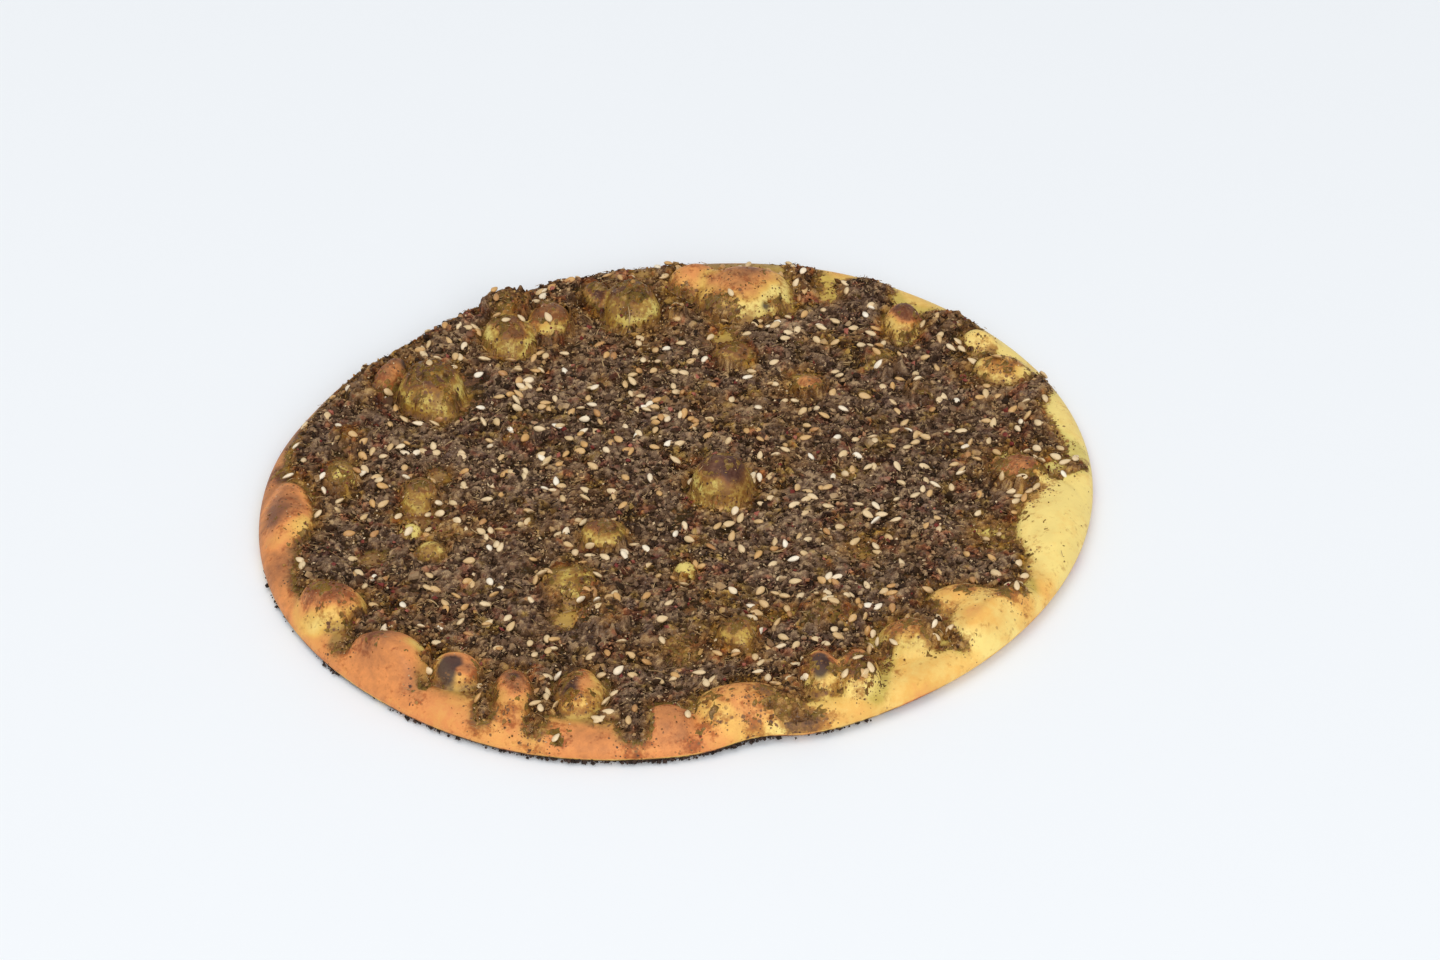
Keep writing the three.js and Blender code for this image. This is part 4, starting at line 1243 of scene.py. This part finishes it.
def random_places(random, count, share):
    """Random places over the bread, kept by a share from 0 to 1."""
    kept_x, kept_y = np.zeros(0), np.zeros(0)
    for _ in range(STREWN_TRIES):
        x = random.uniform(-LONG_RADIUS, LONG_RADIUS, count)
        y = random.uniform(-LONG_RADIUS, LONG_RADIUS, count)
        on_bread = angle_and_inset(x, y)[1] > STREWN_INSET
        inside = on_bread & (random.uniform(0, 1, count) < share(x, y))
        kept_x, kept_y = np.append(kept_x, x[inside]), np.append(kept_y, y[inside])
        if len(kept_x) >= count:
            break
    return kept_x[:count], kept_y[:count]


def inside_share(reach, at_edge=0.5):
    """1 inside the paste, 0 outside it and a given share of the way at its edge."""
    return smooth_step(reach / PASTE_FADE + at_edge)


def zaatar_share(x, y):
    """How likely a crumb of zaatar is to lie at a place."""
    inside = inside_share(ragged_reach(x, y, bread_top(x, y)))
    share = inside * (1 - STREWN_OF_SHOW * show_at(x, y) ** 2)
    share = np.maximum(share, STREWN_OF_DUST * dust_at(x, y) ** STREWN_DUST_POWER)
    return share * (1 - STREWN_OF_GAPS * np.clip(pit_at(x, y) + spots_at(GAPS, x, y), 0, 1))


def seed_share(x, y):
    """How likely a sesame seed is to lie at a place."""
    inside = inside_share(paste_reach(x, y), SEED_PASTE_FROM)
    on_crown = SEED_ON_DUST * dust_at(x, y) ** 2
    in_gap = np.clip(spots_at(GAPS, x, y), 0, 1 - SEED_GAP_LEAST)
    usual = SEED_SHARE * (1 + spots_at(SEED_CLUSTERS, x, y))
    return np.maximum(inside, on_crown) * (1 - in_gap) * usual


def turns_about(axis, angle):
    """Rotation matrices about X, Y or Z for an array of angles in radians."""
    made = np.zeros((len(angle), 3, 3))
    one, other = [(1, 2), (2, 0), (0, 1)][axis]
    made[:, axis, axis] = 1
    made[:, one, one] = made[:, other, other] = np.cos(angle)
    made[:, one, other], made[:, other, one] = -np.sin(angle), np.sin(angle)
    return made


def facing(normal, turn):
    """Rotation matrices that stand +Z along a direction, after a turn about it in radians."""
    aside = np.stack([np.cos(turn), np.sin(turn), np.zeros_like(turn)], 1)
    aside -= normal * np.sum(aside * normal, axis=1, keepdims=True)
    aside /= np.linalg.norm(aside, axis=1, keepdims=True)
    return np.stack([aside, np.cross(normal, aside), normal], axis=2)


def joined_copies(shapes, faces, rotations, places):
    """One mesh from many turned and placed copies: shapes has each copy's own points."""
    points = np.einsum("nij,nkj->nki", rotations, shapes) + places[:, None, :]
    shift = np.arange(len(shapes))[:, None, None] * shapes.shape[1]
    return points.reshape(-1, 3), (np.asarray(faces)[None] + shift).reshape(-1, len(faces[0]))


def resting_places(x, y, sunk):
    """Where things lie on the coat or crust, and the direction square to it there."""
    normal = slope_of(coat_top, x, y)
    on_top = np.stack([x, y, coat_top(x, y)], 1)
    return on_top - normal * np.asarray(sunk)[:, None], normal


def well_inside(x, y):
    """1 on thick paste, 0 on bare crust."""
    return inside_share(paste_reach(x, y)) * (1 - show_at(x, y))


def laid_down(random, x, y, shapes, faces, sunk, lean, tone_on_crust):
    """The mesh of shapes that lie on the coat or crust and lean at random, and its numbers."""
    number = len(x)
    places, normal = resting_places(x, y, sunk)
    about_x = turns_about(0, random.normal(0, lean, number))
    tilt = about_x @ turns_about(1, random.normal(0, lean, number))
    rotations = facing(normal, random.uniform(0, 2 * math.pi, number)) @ tilt
    points, faces = joined_copies(shapes, faces, rotations, places)
    inside = well_inside(x, y)
    tone = random.uniform(0, 1, number) * (tone_on_crust + (1 - tone_on_crust) * inside)
    numbers = {
        "tone": tone + LEAST_TONE_ON_CRUST * (1 - inside),
        "warm": np.maximum(warmth_at(x, y), 1 - inside),
    }
    corners = shapes.shape[1]
    return points, faces, {key: np.repeat(values, corners) for key, values in numbers.items()}


def tube_faces(first, sides, rings):
    """The triangles of a tube whose rings of points follow each other from the first point on."""
    faces = []
    for near in range(first, first + (rings - 1) * sides, sides):
        far = near + sides
        for i in range(sides):
            j = (i + 1) % sides
            faces += [(near + i, near + j, far + j), (near + i, far + j, far + i)]
    return faces


def octahedron_shape():
    """The points and faces of a crumb with eight sides."""
    points = np.array([[1, 0, 0], [-1, 0, 0], [0, 1, 0], [0, -1, 0], [0, 0, 1], [0, 0, -1]], float)
    around = [(0, 2), (2, 1), (1, 3), (3, 0)]
    return points, [(a, b, 4) for a, b in around] + [(b, a, 5) for a, b in around]


def lump_shape():
    """The points and faces of a round lump with twenty sides."""
    golden = (1 + math.sqrt(5)) / 2
    corners = [(0, a, b * golden) for a in (-1, 1) for b in (-1, 1)]
    points = np.array([c[i:] + c[:i] for c in corners for i in range(3)]) / math.hypot(1, golden)
    side = 2 / math.hypot(1, golden)
    faces = []
    for a, b, c in itertools.combinations(range(len(points)), 3):
        corner = points[[a, b, c]]
        edges = np.linalg.norm(corner - np.roll(corner, 1, axis=0), axis=1)
        if np.allclose(edges, side):
            outward = np.dot(np.cross(corner[1] - corner[0], corner[2] - corner[0]), corner[0])
            faces.append((a, b, c) if outward > 0 else (a, c, b))
    return points, faces


def crumbs_mesh(kind, shape):
    """Crumbs: uneven many-sided bits of random size."""
    random = np.random.default_rng(kind.draw)
    x, y = random_places(random, kind.count, zaatar_share)
    number = len(x)
    base, faces = shape
    largest = CRUMB_ON_CRUST + (1 - CRUMB_ON_CRUST) * well_inside(x, y)
    size = kind.low + (kind.high - kind.low) * random.uniform(0, 1, number) ** 2 * largest
    shapes = base * random.uniform(*CRUMB_CORNERS, (number, len(base), 1)) * size[:, None, None] / 2
    shapes *= random.uniform(*CRUMB_SIDES, (number, 1, 3)) * (1, 1, kind.flat)
    sunk = -CRUMB_PROUD * size + random.uniform(*CRUMB_SUNK, number)
    return laid_down(random, x, y, shapes, faces, sunk, CRUMB_LEAN, CRUMB_TONE_ON_CRUST)


def flakes_mesh():
    """Flat bits of dried leaf, bowed along their length."""
    random = np.random.default_rng(FLAKE_DRAW)
    x, y = random_places(random, FLAKE_COUNT, zaatar_share)
    number = len(x)
    longest = FLAKE_ON_CRUST + (1 - FLAKE_ON_CRUST) * well_inside(x, y)
    length = random.uniform(*FLAKE_LENGTHS, number) * longest
    width = length * random.uniform(*FLAKE_WIDTHS, number)
    around = np.arange(FLAKE_SIDES) * 2 * math.pi / FLAKE_SIDES
    rim = np.stack([np.cos(around), np.sin(around), np.zeros(FLAKE_SIDES)], 1)
    base = np.concatenate([rim, [[0, 0, 0.5], [0, 0, -0.5]]])
    shapes = np.repeat(base[None], number, 0)
    shapes[:, :FLAKE_SIDES] *= random.uniform(*FLAKE_CORNERS, (number, FLAKE_SIDES, 1))
    shapes *= np.stack([length / 2, width / 2, np.full(number, FLAKE_THICKNESS)], 1)[:, None, :]
    bow = random.uniform(*FLAKE_BOW, number)[:, None]
    shapes[:, :, 2] -= bow * shapes[:, :, 0] ** 2 / length[:, None]
    top, bottom = FLAKE_SIDES, FLAKE_SIDES + 1
    faces = [(i, (i + 1) % FLAKE_SIDES, top) for i in range(FLAKE_SIDES)]
    faces += [((i + 1) % FLAKE_SIDES, i, bottom) for i in range(FLAKE_SIDES)]
    sunk = random.uniform(*FLAKE_SUNK, number)
    return laid_down(random, x, y, shapes, faces, sunk, FLAKE_LEAN, FLAKE_TONE_ON_CRUST)


def seed_shape():
    """One sesame seed along +X, pointed at its +X end, with the share of the way to that end."""
    along = np.arange(1, SEED_RINGS) / SEED_RINGS
    swell = np.sin(math.pi * along) ** SEED_ROUNDNESS * (SEED_WIDEST - SEED_POINTED * along)
    around = np.arange(SEED_SIDES) * 2 * math.pi / SEED_SIDES
    points = [(-SEED_LENGTH / 2, 0, 0)]
    for share, radius in zip(along, swell):
        for angle in around:
            across = radius * math.cos(angle) * SEED_WIDTH / 2
            up = radius * math.sin(angle) * SEED_THICKNESS / 2
            points.append(((share - 0.5) * SEED_LENGTH, across, up))
    points.append((SEED_LENGTH / 2, 0, 0))
    faces = tube_faces(1, SEED_SIDES, len(along))
    last = len(points) - 1
    for i in range(SEED_SIDES):
        j = (i + 1) % SEED_SIDES
        faces += [(0, 1 + j, 1 + i), (last - SEED_SIDES + i, last - SEED_SIDES + j, last)]
    points = np.array(points)
    # How low each point lies in the seed; its low side is darkened, partly as a stain of paste, partly as
    # painted shade.
    low = 0.5 - points[:, 2] / SEED_THICKNESS
    return points, faces, points[:, 0] / SEED_LENGTH + 0.5, low


def seeds_mesh():
    """Sesame seeds, most of them half sunk in the coat, and some bare on the crust."""
    random = np.random.default_rng(SEED_DRAW)
    x, y = random_places(random, SEED_COUNT, seed_share)
    turn = random.uniform(0, 2 * math.pi, len(x))
    x = np.append(x, [seed.x for seed in LONE_SEEDS])
    y = np.append(y, [seed.y for seed in LONE_SEEDS])
    turn = np.append(turn, np.radians([seed.turn for seed in LONE_SEEDS]))
    number = len(x)
    base, faces, along, low = seed_shape()
    swings = np.clip(random.normal(0, SEED_SWING, (number, 1, 3)), -1, 1)
    shapes = base[None] * (1 + SEED_SPREAD * swings)
    lone = np.arange(number) >= number - len(LONE_SEEDS)
    sunk = np.where(lone, LONE_SEED_SUNK, random.uniform(*SEED_SUNK, number))
    places, normal = resting_places(x, y, sunk)
    lean = math.radians(SEED_TILT) * np.where(lone, LONE_SEED_TILT, 1)
    pitched = turns_about(1, random.normal(0, SEED_PITCH, number) * lean)
    tilt = turns_about(0, random.normal(0, SEED_ROLL, number) * lean) @ pitched
    points, faces = joined_copies(shapes, faces, facing(normal, turn) @ tilt, places)
    tone = np.where(lone, LONE_SEED_TONE, random.uniform(0, 1, number))
    numbers = {
        "tone": np.repeat(tone, len(base)),
        "along": np.tile(along, number),
        "low": np.tile(low, number),
    }
    return points, faces, numbers


def stems_mesh(kind):
    """Thin pale stems and fibres, each a bowed tube with pointed ends."""
    random = np.random.default_rng(kind.draw)
    x, y = random_places(random, kind.count, lambda x, y: STEM_SHARE * zaatar_share(x, y))
    number = len(x)
    length = random.uniform(*kind.lengths, number)
    thickness = random.uniform(*kind.widths, number)
    bow = random.uniform(-STEM_BOW, STEM_BOW, number) * length
    along = np.linspace(-1, 1, kind.steps + 1)
    around = np.arange(kind.sides) * 2 * math.pi / kind.sides
    shapes = np.zeros((number, kind.steps + 1, kind.sides, 3))
    shapes[..., 0] = (length[:, None] * along / 2)[..., None]
    radius = (thickness[:, None] * (1 - STEM_TAPER * np.abs(along) ** 3))[..., None] / 2
    shapes[..., 1] = radius * np.cos(around) + (bow[:, None] * (1 - along**2))[..., None]
    shapes[..., 2] = radius * np.sin(around)
    shapes = shapes.reshape(number, -1, 3)
    faces = tube_faces(0, kind.sides, kind.steps + 1)
    end = kind.steps * kind.sides
    for i in range(1, kind.sides - 1):
        faces += [(0, i + 1, i), (end, end + i, end + i + 1)]
    places, normal = resting_places(x, y, random.uniform(*kind.sunk, number))
    tilt = turns_about(1, random.normal(0, STEM_LEAN, number))
    rotations = facing(normal, random.uniform(0, 2 * math.pi, number)) @ tilt
    points, faces = joined_copies(shapes, faces, rotations, places)
    return points, faces, {"tone": np.repeat(random.uniform(0, 1, number), shapes.shape[1])}


def burnt_crumbs_mesh():
    """Burnt crumbs that hang on the bottom edge of the rim, thick in a few places."""
    random = np.random.default_rng(BURNT_DRAW)
    choice = BURNT_CRUMB_COUNT * BURNT_CRUMB_CHOICE
    angle = random.uniform(BURNT_EDGE_FROM, BURNT_EDGE_TO, choice)
    share = BURNT_CRUMB_LEAST * (angle < BURNT_CRUMB_LEAST_TO)
    share += BURNT_CRUMB_SHARE * changes_at(BURNT_CLUSTERS, angle)
    angle = angle[random.uniform(0, 1, choice) < share][:BURNT_CRUMB_COUNT]
    number = len(angle)
    radius = outline_radius(angle) - random.uniform(*BURNT_CRUMB_INSETS, number)
    x, y = radius * np.cos(np.radians(angle)), radius * np.sin(np.radians(angle))
    z = rim_lift(angle) + random.uniform(*BURNT_CRUMB_HEIGHTS, number)
    size = BURNT_CRUMB_SMALLEST + BURNT_CRUMB_LARGER * random.uniform(0, 1, number) ** 2
    base, faces = octahedron_shape()
    corners = random.uniform(*BURNT_CRUMB_CORNERS, (number, len(base), 1))
    shapes = base * corners * size[:, None, None] / 2
    about_x = turns_about(0, random.uniform(*BURNT_CRUMB_TURNS, number))
    tilt = about_x @ turns_about(1, random.uniform(*BURNT_CRUMB_TURNS, number))
    places = np.stack([x, y, np.maximum(z, size * BURNT_CRUMB_CLEARANCE)], 1)
    points, faces = joined_copies(shapes, faces, tilt, places)
    return points, faces, {"tone": np.repeat(random.uniform(0, 1, number), len(base))}


# ---------------------------------------------------------------- materials

# The curve of sRGB: straight up to its knee, and a power above it.
SRGB_KNEE = 0.04045
SRGB_SLOPE = 12.92
SRGB_SHIFT = 0.055
SRGB_POWER = 2.4


def linear(colour):
    """An sRGB colour, 0 to 255, as the linear colour that a shader takes."""
    values = np.array(colour) / 255
    curved = ((values + SRGB_SHIFT) / (1 + SRGB_SHIFT)) ** SRGB_POWER
    return (*np.where(values <= SRGB_KNEE, values / SRGB_SLOPE, curved), 1.0)


def new_material(name, roughness):
    material = bpy.data.materials.new(name)
    material.use_nodes = True
    surface = material.node_tree.nodes["Principled BSDF"]
    surface.inputs["Roughness"].default_value = roughness
    return material, material.node_tree, surface


def node(tree, kind, inputs=None, **settings):
    """A shader node, whose inputs are numbers, colours or other nodes' sockets."""
    made = tree.nodes.new(kind)
    for key, value in settings.items():
        setattr(made, key, value)
    for key, value in (inputs or {}).items():
        if isinstance(value, bpy.types.NodeSocket):
            tree.links.new(value, made.inputs[key])
        else:
            made.inputs[key].default_value = value
    return made


def attribute(tree, name):
    return node(tree, "ShaderNodeAttribute", attribute_name=name).outputs["Fac"]


def place(tree):
    return node(tree, "ShaderNodeTexCoord").outputs["Object"]


def noise(tree, size, detail=4.0, rough=0.55):
    """Noise from 0 to 1 whose blotches are about as wide as the size in millimetres."""
    inputs = {"Vector": place(tree), "Scale": 1 / (size * MM), "Detail": detail, "Roughness": rough}
    return node(tree, "ShaderNodeTexNoise", inputs).outputs["Fac"]


def maths(tree, operation, first, second):
    return node(tree, "ShaderNodeMath", {0: first, 1: second}, operation=operation).outputs[0]


def spread(tree, value, low, high, to_low=0.0, to_high=1.0):
    """A number taken smoothly from one range to another."""
    inputs = {"Value": value, "From Min": low, "From Max": high, "To Min": to_low, "To Max": to_high}
    return node(tree, "ShaderNodeMapRange", inputs, interpolation_type="SMOOTHSTEP").outputs[0]


def varied(tree, value, *swings):
    """A number with noises added to it, each by its amount: a noise's middle adds nothing."""
    for around, amount in swings:
        swing = maths(tree, "MULTIPLY", maths(tree, "SUBTRACT", around, 0.5), amount)
        value = maths(tree, "ADD", value, swing)
    return value


def ramp(tree, value, stops):
    """A colour from a number, by stops of (place, sRGB colour)."""
    made = node(tree, "ShaderNodeValToRGB", {"Fac": value})
    elements = made.color_ramp.elements
    while len(elements) < len(stops):
        elements.new(0.5)
    for element, (at, colour) in zip(elements, stops):
        element.position = at
        element.color = linear(colour)
    return made.outputs["Color"]


def blend_colours(tree, share, first, second, kind="MIX"):
    made = node(tree, "ShaderNodeMix", {0: share}, data_type="RGBA", blend_type=kind)
    for index, value in ((6, first), (7, second)):
        if isinstance(value, bpy.types.NodeSocket):
            tree.links.new(value, made.inputs[index])
        else:
            made.inputs[index].default_value = linear(value)
    return made.outputs[2]


def bump(tree, surface, height, distance, strength):
    inputs = {"Height": height, "Distance": distance * MM, "Strength": strength}
    made = node(tree, "ShaderNodeBump", inputs)
    tree.links.new(made.outputs["Normal"], surface.inputs["Normal"])


def strewn_dots(tree, colour, dusted, size, share):
    """Dots of zaatar over a colour: a cell has one if its own number is under the share."""
    cells = node(tree, "ShaderNodeTexVoronoi", {"Vector": place(tree), "Scale": 1 / (size * MM)})
    numbers = node(tree, "ShaderNodeSeparateColor", {0: cells.outputs["Color"]}).outputs
    left_over = maths(tree, "SUBTRACT", maths(tree, "MULTIPLY", dusted, share), numbers[0])
    present = spread(tree, left_over, *DOT_PRESENT)
    radius = spread(tree, numbers[1], 0, 1, *DOT_RADII)
    inside = maths(tree, "SUBTRACT", radius, cells.outputs["Distance"])
    ragged = noise(tree, size * DOT_RAGGED_SIZE, DOT_RAGGED_DETAIL)
    shape = spread(tree, varied(tree, inside, (ragged, DOT_RAGGED)), *DOT_EDGE)
    dot = ramp(tree, numbers[2], DOT_STOPS)
    return blend_colours(tree, maths(tree, "MULTIPLY", shape, present), colour, dot)


def crust_material():
    """Baked dough: pale yellow to orange and brown, oily by the paste, with burnt spots."""
    material, tree, surface = new_material("baked_crust", CRUST_ROUGHNESS)
    surface.inputs["Specular IOR Level"].default_value = CRUST_SPECULAR
    fine, middle, broad = [noise(tree, size) for size in CRUST_NOISES]
    speckle, cloudy = noise(tree, *CRUST_SPECKLE), noise(tree, *CRUST_CLOUDY)
    baked = varied(tree, attribute(tree, "bake"), (middle, BAKE_MIDDLE), (fine, BAKE_FINE))
    oily = varied(tree, attribute(tree, "oil"), (middle, OIL_SWING))
    burnt = varied(tree, attribute(tree, "burn"), (middle, BURN_SWING))
    filmed = varied(tree, attribute(tree, "film"), (cloudy, FILM_CLOUDY), (speckle, FILM_SPECKLE))
    colour = ramp(tree, baked, CRUST_STOPS)
    oiled = ramp(tree, baked, OILY_STOPS)
    colour = blend_colours(tree, spread(tree, oily, *CRUST_OILED), colour, oiled)
    shine = spread(tree, oily, *CRUST_SHINY)
    shine = maths(tree, "MULTIPLY", shine, spread(tree, broad, *CRUST_SHINY_PATCHES))
    colour = blend_colours(tree, shine, colour, OILY_SHINE)
    colour = blend_colours(tree, spread(tree, burnt, *CRUST_BURNT), colour, BURNT_CRUST)
    # The film darkens the crust; at oily bubbles' feet it is partly painted shade.
    thin_film = blend_colours(tree, 1.0, colour, FILM_TINT, "MULTIPLY")
    colour = blend_colours(tree, spread(tree, filmed, *CRUST_FILMED), colour, thin_film)
    film = ramp(tree, varied(tree, speckle, (fine, FILM_FINE)), FILM_STOPS)
    colour = blend_colours(tree, spread(tree, filmed, *CRUST_COVERED), colour, film)
    for size, share in DOT_SIZES:
        colour = strewn_dots(tree, colour, attribute(tree, "dust"), size, share)
    mottled = spread(tree, broad, *CRUST_MOTTLED)
    shade = node(tree, "ShaderNodeCombineColor", {0: mottled, 1: mottled, 2: mottled}).outputs[0]
    colour = blend_colours(tree, 1.0, colour, shade, "MULTIPLY")
    tree.links.new(colour, surface.inputs["Base Color"])
    tree.links.new(spread(tree, oily, *CRUST_ROUGH), surface.inputs["Roughness"])
    height = maths(tree, "ADD", middle, maths(tree, "MULTIPLY", fine, CRUST_FINE_RELIEF))
    bump(tree, surface, height, *CRUST_BUMP)
    return material


def zaatar_colour(tree, tone):
    """The colour of zaatar by its tone: greyer or browner by the number warm."""
    warm = varied(tree, attribute(tree, "warm"), (noise(tree, *WARM_NOISE), WARM_SWING))
    grey, brown = ramp(tree, tone, GREY_STOPS), ramp(tree, tone, BROWN_STOPS)
    colour = blend_colours(tree, spread(tree, warm, *WARM_SPREAD), grey, brown)
    for size, tint in ZAATAR_TINTS:
        share = spread(tree, noise(tree, size, *TINT_NOISE), *TINT_SPREAD)
        colour = blend_colours(tree, share, colour, blend_colours(tree, 1.0, colour, tint, "MULTIPLY"))
    return colour


def paste_material():
    """The zaatar coat: dark oily herb paste, lighter on its grains, olive where it is thin, and darkened
    by painted shade in its hollows.
    """
    material, tree, surface = new_material("zaatar_paste", PASTE_ROUGHNESS)
    fine, middle, broad, glint, red = [noise(tree, *kind) for kind in PASTE_NOISES]
    tree.links.new(spread(tree, glint, *PASTE_SHINE), surface.inputs["Specular IOR Level"])
    tone = varied(tree, attribute(tree, "tone"), (fine, PASTE_FINE), (broad, PASTE_BROAD))
    thin = varied(tree, attribute(tree, "thin"), (middle, THIN_SWING))
    colour = zaatar_colour(tree, tone)
    colour = blend_colours(tree, spread(tree, thin, *PASTE_THIN), colour, PASTE_OLIVE)
    colour = blend_colours(tree, spread(tree, red, *PASTE_RED), colour, SUMAC_RED)
    # Painted shade: the coat's hollows are darkened towards the blackest crumb colour.
    dark = spread(tree, attribute(tree, "hollow_shade"), *PASTE_HOLLOW_SHADE)
    colour = blend_colours(tree, dark, colour, CRUMB_BLACK_AND_HOLLOW_SHADE)
    tree.links.new(colour, surface.inputs["Base Color"])
    tree.links.new(spread(tree, glint, *PASTE_ROUGH), surface.inputs["Roughness"])
    bump(tree, surface, maths(tree, "ADD", fine, middle), *PASTE_BUMP)
    return material


def bits_material(name, roughness, stops=None):
    """Scattered bits, each with its own tone along the stops or zaatar's, with fine mottling."""
    material, tree, surface = new_material(name, roughness)
    specular, swing = BITS_LOOK if stops else ZAATAR_BITS_LOOK
    surface.inputs["Specular IOR Level"].default_value = specular
    fine, middle = noise(tree, *BITS_FINE), noise(tree, *BITS_MIDDLE)
    tone = varied(tree, attribute(tree, "tone"), (fine, swing), (middle, BITS_SWING))
    colour = ramp(tree, tone, stops) if stops else zaatar_colour(tree, tone)
    tree.links.new(colour, surface.inputs["Base Color"])
    rough = spread(tree, middle, *BITS_MOTTLED, roughness - BITS_ROUGH, roughness + BITS_ROUGH)
    tree.links.new(rough, surface.inputs["Roughness"])
    bump(tree, surface, fine, *BITS_BUMP)
    return material


def seed_material():
    """Sesame: cream to golden, darker and browner towards the pointed end, and darker on its low side,
    partly as a stain of paste and partly as painted shade.
    """
    material, tree, surface = new_material("sesame_hull", SEED_HULL_ROUGHNESS)
    fine, middle = noise(tree, *SEED_FINE), noise(tree, *SEED_MIDDLE)
    tone = varied(tree, attribute(tree, "tone"), (middle, SEED_TONE_SWING))
    along = varied(tree, attribute(tree, "along"), (middle, SEED_TIP_SWING))
    low = varied(tree, attribute(tree, "low"), (middle, SEED_STAIN_AND_SHADE_SWING))
    colour = ramp(tree, tone, SEED_STOPS)
    colour = blend_colours(tree, spread(tree, along, *SEED_TIP), colour, SEED_BROWN)
    # The seed's low side is darkened: partly a stain of paste, partly painted shade.
    colour = blend_colours(tree, spread(tree, low, *SEED_STAINED_AND_SHADED), colour, SEED_STAIN_AND_SHADE)
    tree.links.new(colour, surface.inputs["Base Color"])
    bump(tree, surface, fine, *SEED_BUMP)
    return material


def floor_material():
    material, tree, surface = new_material("pale_floor", FLOOR_ROUGHNESS)
    shade = spread(tree, noise(tree, *FLOOR_NOISE), *FLOOR_SPREAD)
    colour = blend_colours(tree, shade, FLOOR_COLOUR, WHITE)
    tree.links.new(colour, surface.inputs["Base Color"])
    return material


# ---------------------------------------------------------------- the pieces


def make_bread():
    points, faces, top_count = bread_mesh()
    numbers = crust_numbers(points, top_count)
    bread = mesh_piece("bread_crust", points, faces, crust_material(), numbers)
    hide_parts("bread")


def make_coat():
    material = paste_material()
    for side, points, faces, numbers in coat_meshes():
        coat = mesh_piece(f"zaatar_coat_{side}", points, faces, material, numbers)
        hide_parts("zaatar")


def make_bits():
    """The crumbs, clots, leaf flakes, fibres, stems, flecks, sumac and burnt crumbs; the pale flecks
    partly stand in for glints of oil as painted highlights.
    """
    crumb = octahedron_shape()
    points, faces, numbers = crumbs_mesh(FINE_CRUMBS, crumb)
    material = bits_material("zaatar_crumb", ZAATAR_CRUMB_ROUGHNESS)
    crumbs = mesh_piece("zaatar_crumbs", points, faces, material, numbers, smooth=False)

    points, faces, numbers = crumbs_mesh(CLOT_CRUMBS, lump_shape())
    material = bits_material("zaatar_clot", ZAATAR_CRUMB_ROUGHNESS)
    clots = mesh_piece("zaatar_clots", points, faces, material, numbers, smooth=False)

    points, faces, numbers = flakes_mesh()
    material = bits_material("thyme_leaf", LEAF_ROUGHNESS)
    flakes = mesh_piece("thyme_flakes", points, faces, material, numbers)

    for name, material_name, kind in (
        ("herb_stems", "dry_stem", HERB_STEMS),
        ("herb_fibres", "dry_fibre", HERB_FIBRES),
    ):
        points, faces, numbers = stems_mesh(kind)
        mesh_piece(name, points, faces, bits_material(material_name, STEM_ROUGHNESS, STEM_STOPS), numbers)

    # Pale flecks: bits of sesame and crumb, partly painted highlights standing in for glints of oil.
    for name, material_name, kind, stops in (
        ("sesame_flecks_and_painted_glints", "pale_fleck_and_painted_glint", FLECK_AND_GLINT_CRUMBS, FLECK_AND_GLINT_STOPS),
        ("sumac_bits", "sumac", SUMAC_CRUMBS, SUMAC_STOPS),
    ):
        points, faces, numbers = crumbs_mesh(kind, crumb)
        material = bits_material(material_name, FLECK_ROUGHNESS, stops)
        mesh_piece(name, points, faces, material, {"tone": numbers["tone"]}, smooth=False)

    points, faces, numbers = burnt_crumbs_mesh()
    material = bits_material("burnt_crumb", BURNT_ROUGHNESS, BURNT_STOPS)
    mesh_piece("burnt_edge_crumbs", points, faces, material, numbers, smooth=False)


def make_seeds():
    points, faces, numbers = seeds_mesh()
    mesh_piece("sesame_seeds", points, faces, seed_material(), numbers)


# ---------------------------------------------------------------- the set


def make_floor():
    bpy.ops.mesh.primitive_plane_add(size=FLOOR_SIZE)
    floor = bpy.context.object
    floor.name = "floor"
    floor.data.materials.append(floor_material())


def make_lights():
    """Round lamps that face the origin."""
    for kind in LIGHTS:
        light = bpy.data.lights.new(kind.name, "AREA")
        light.shape = "DISK"
        light.size = kind.size
        light.energy = kind.power
        light.color = kind.colour
        lamp = bpy.data.objects.new(kind.name, light)
        lamp.location = kind.place
        lamp.rotation_euler = (-Vector(kind.place)).to_track_quat("-Z", "Y").to_euler()
        bpy.context.scene.collection.objects.link(lamp)


def make_world():
    world = bpy.data.worlds.new("studio")
    world.use_nodes = True
    background = world.node_tree.nodes["Background"]
    background.inputs["Color"].default_value = SKY_COLOUR
    background.inputs["Strength"].default_value = SKY_STRENGTH
    bpy.context.scene.world = world


def make_camera():
    elevation = math.radians(CAMERA_ELEVATION)
    target = Vector(CAMERA_TARGET) * MM
    forward = Vector((0, math.cos(elevation), -math.sin(elevation)))
    data = bpy.data.cameras.new("camera")
    data.sensor_width = CAMERA_SENSOR
    data.lens = CAMERA_LENS
    data.clip_start, data.clip_end = CAMERA_CLIP
    camera = bpy.data.objects.new("camera", data)
    camera.location = target - forward * CAMERA_DISTANCE * MM
    camera.rotation_euler = forward.to_track_quat("-Z", "Y").to_euler()
    bpy.context.scene.collection.objects.link(camera)
    bpy.context.scene.camera = camera


make_camera()
make_bread()
make_coat()
make_bits()
make_seeds()
make_floor()
make_world()
make_lights()
bpy.context.scene.view_settings.view_transform = "Standard"
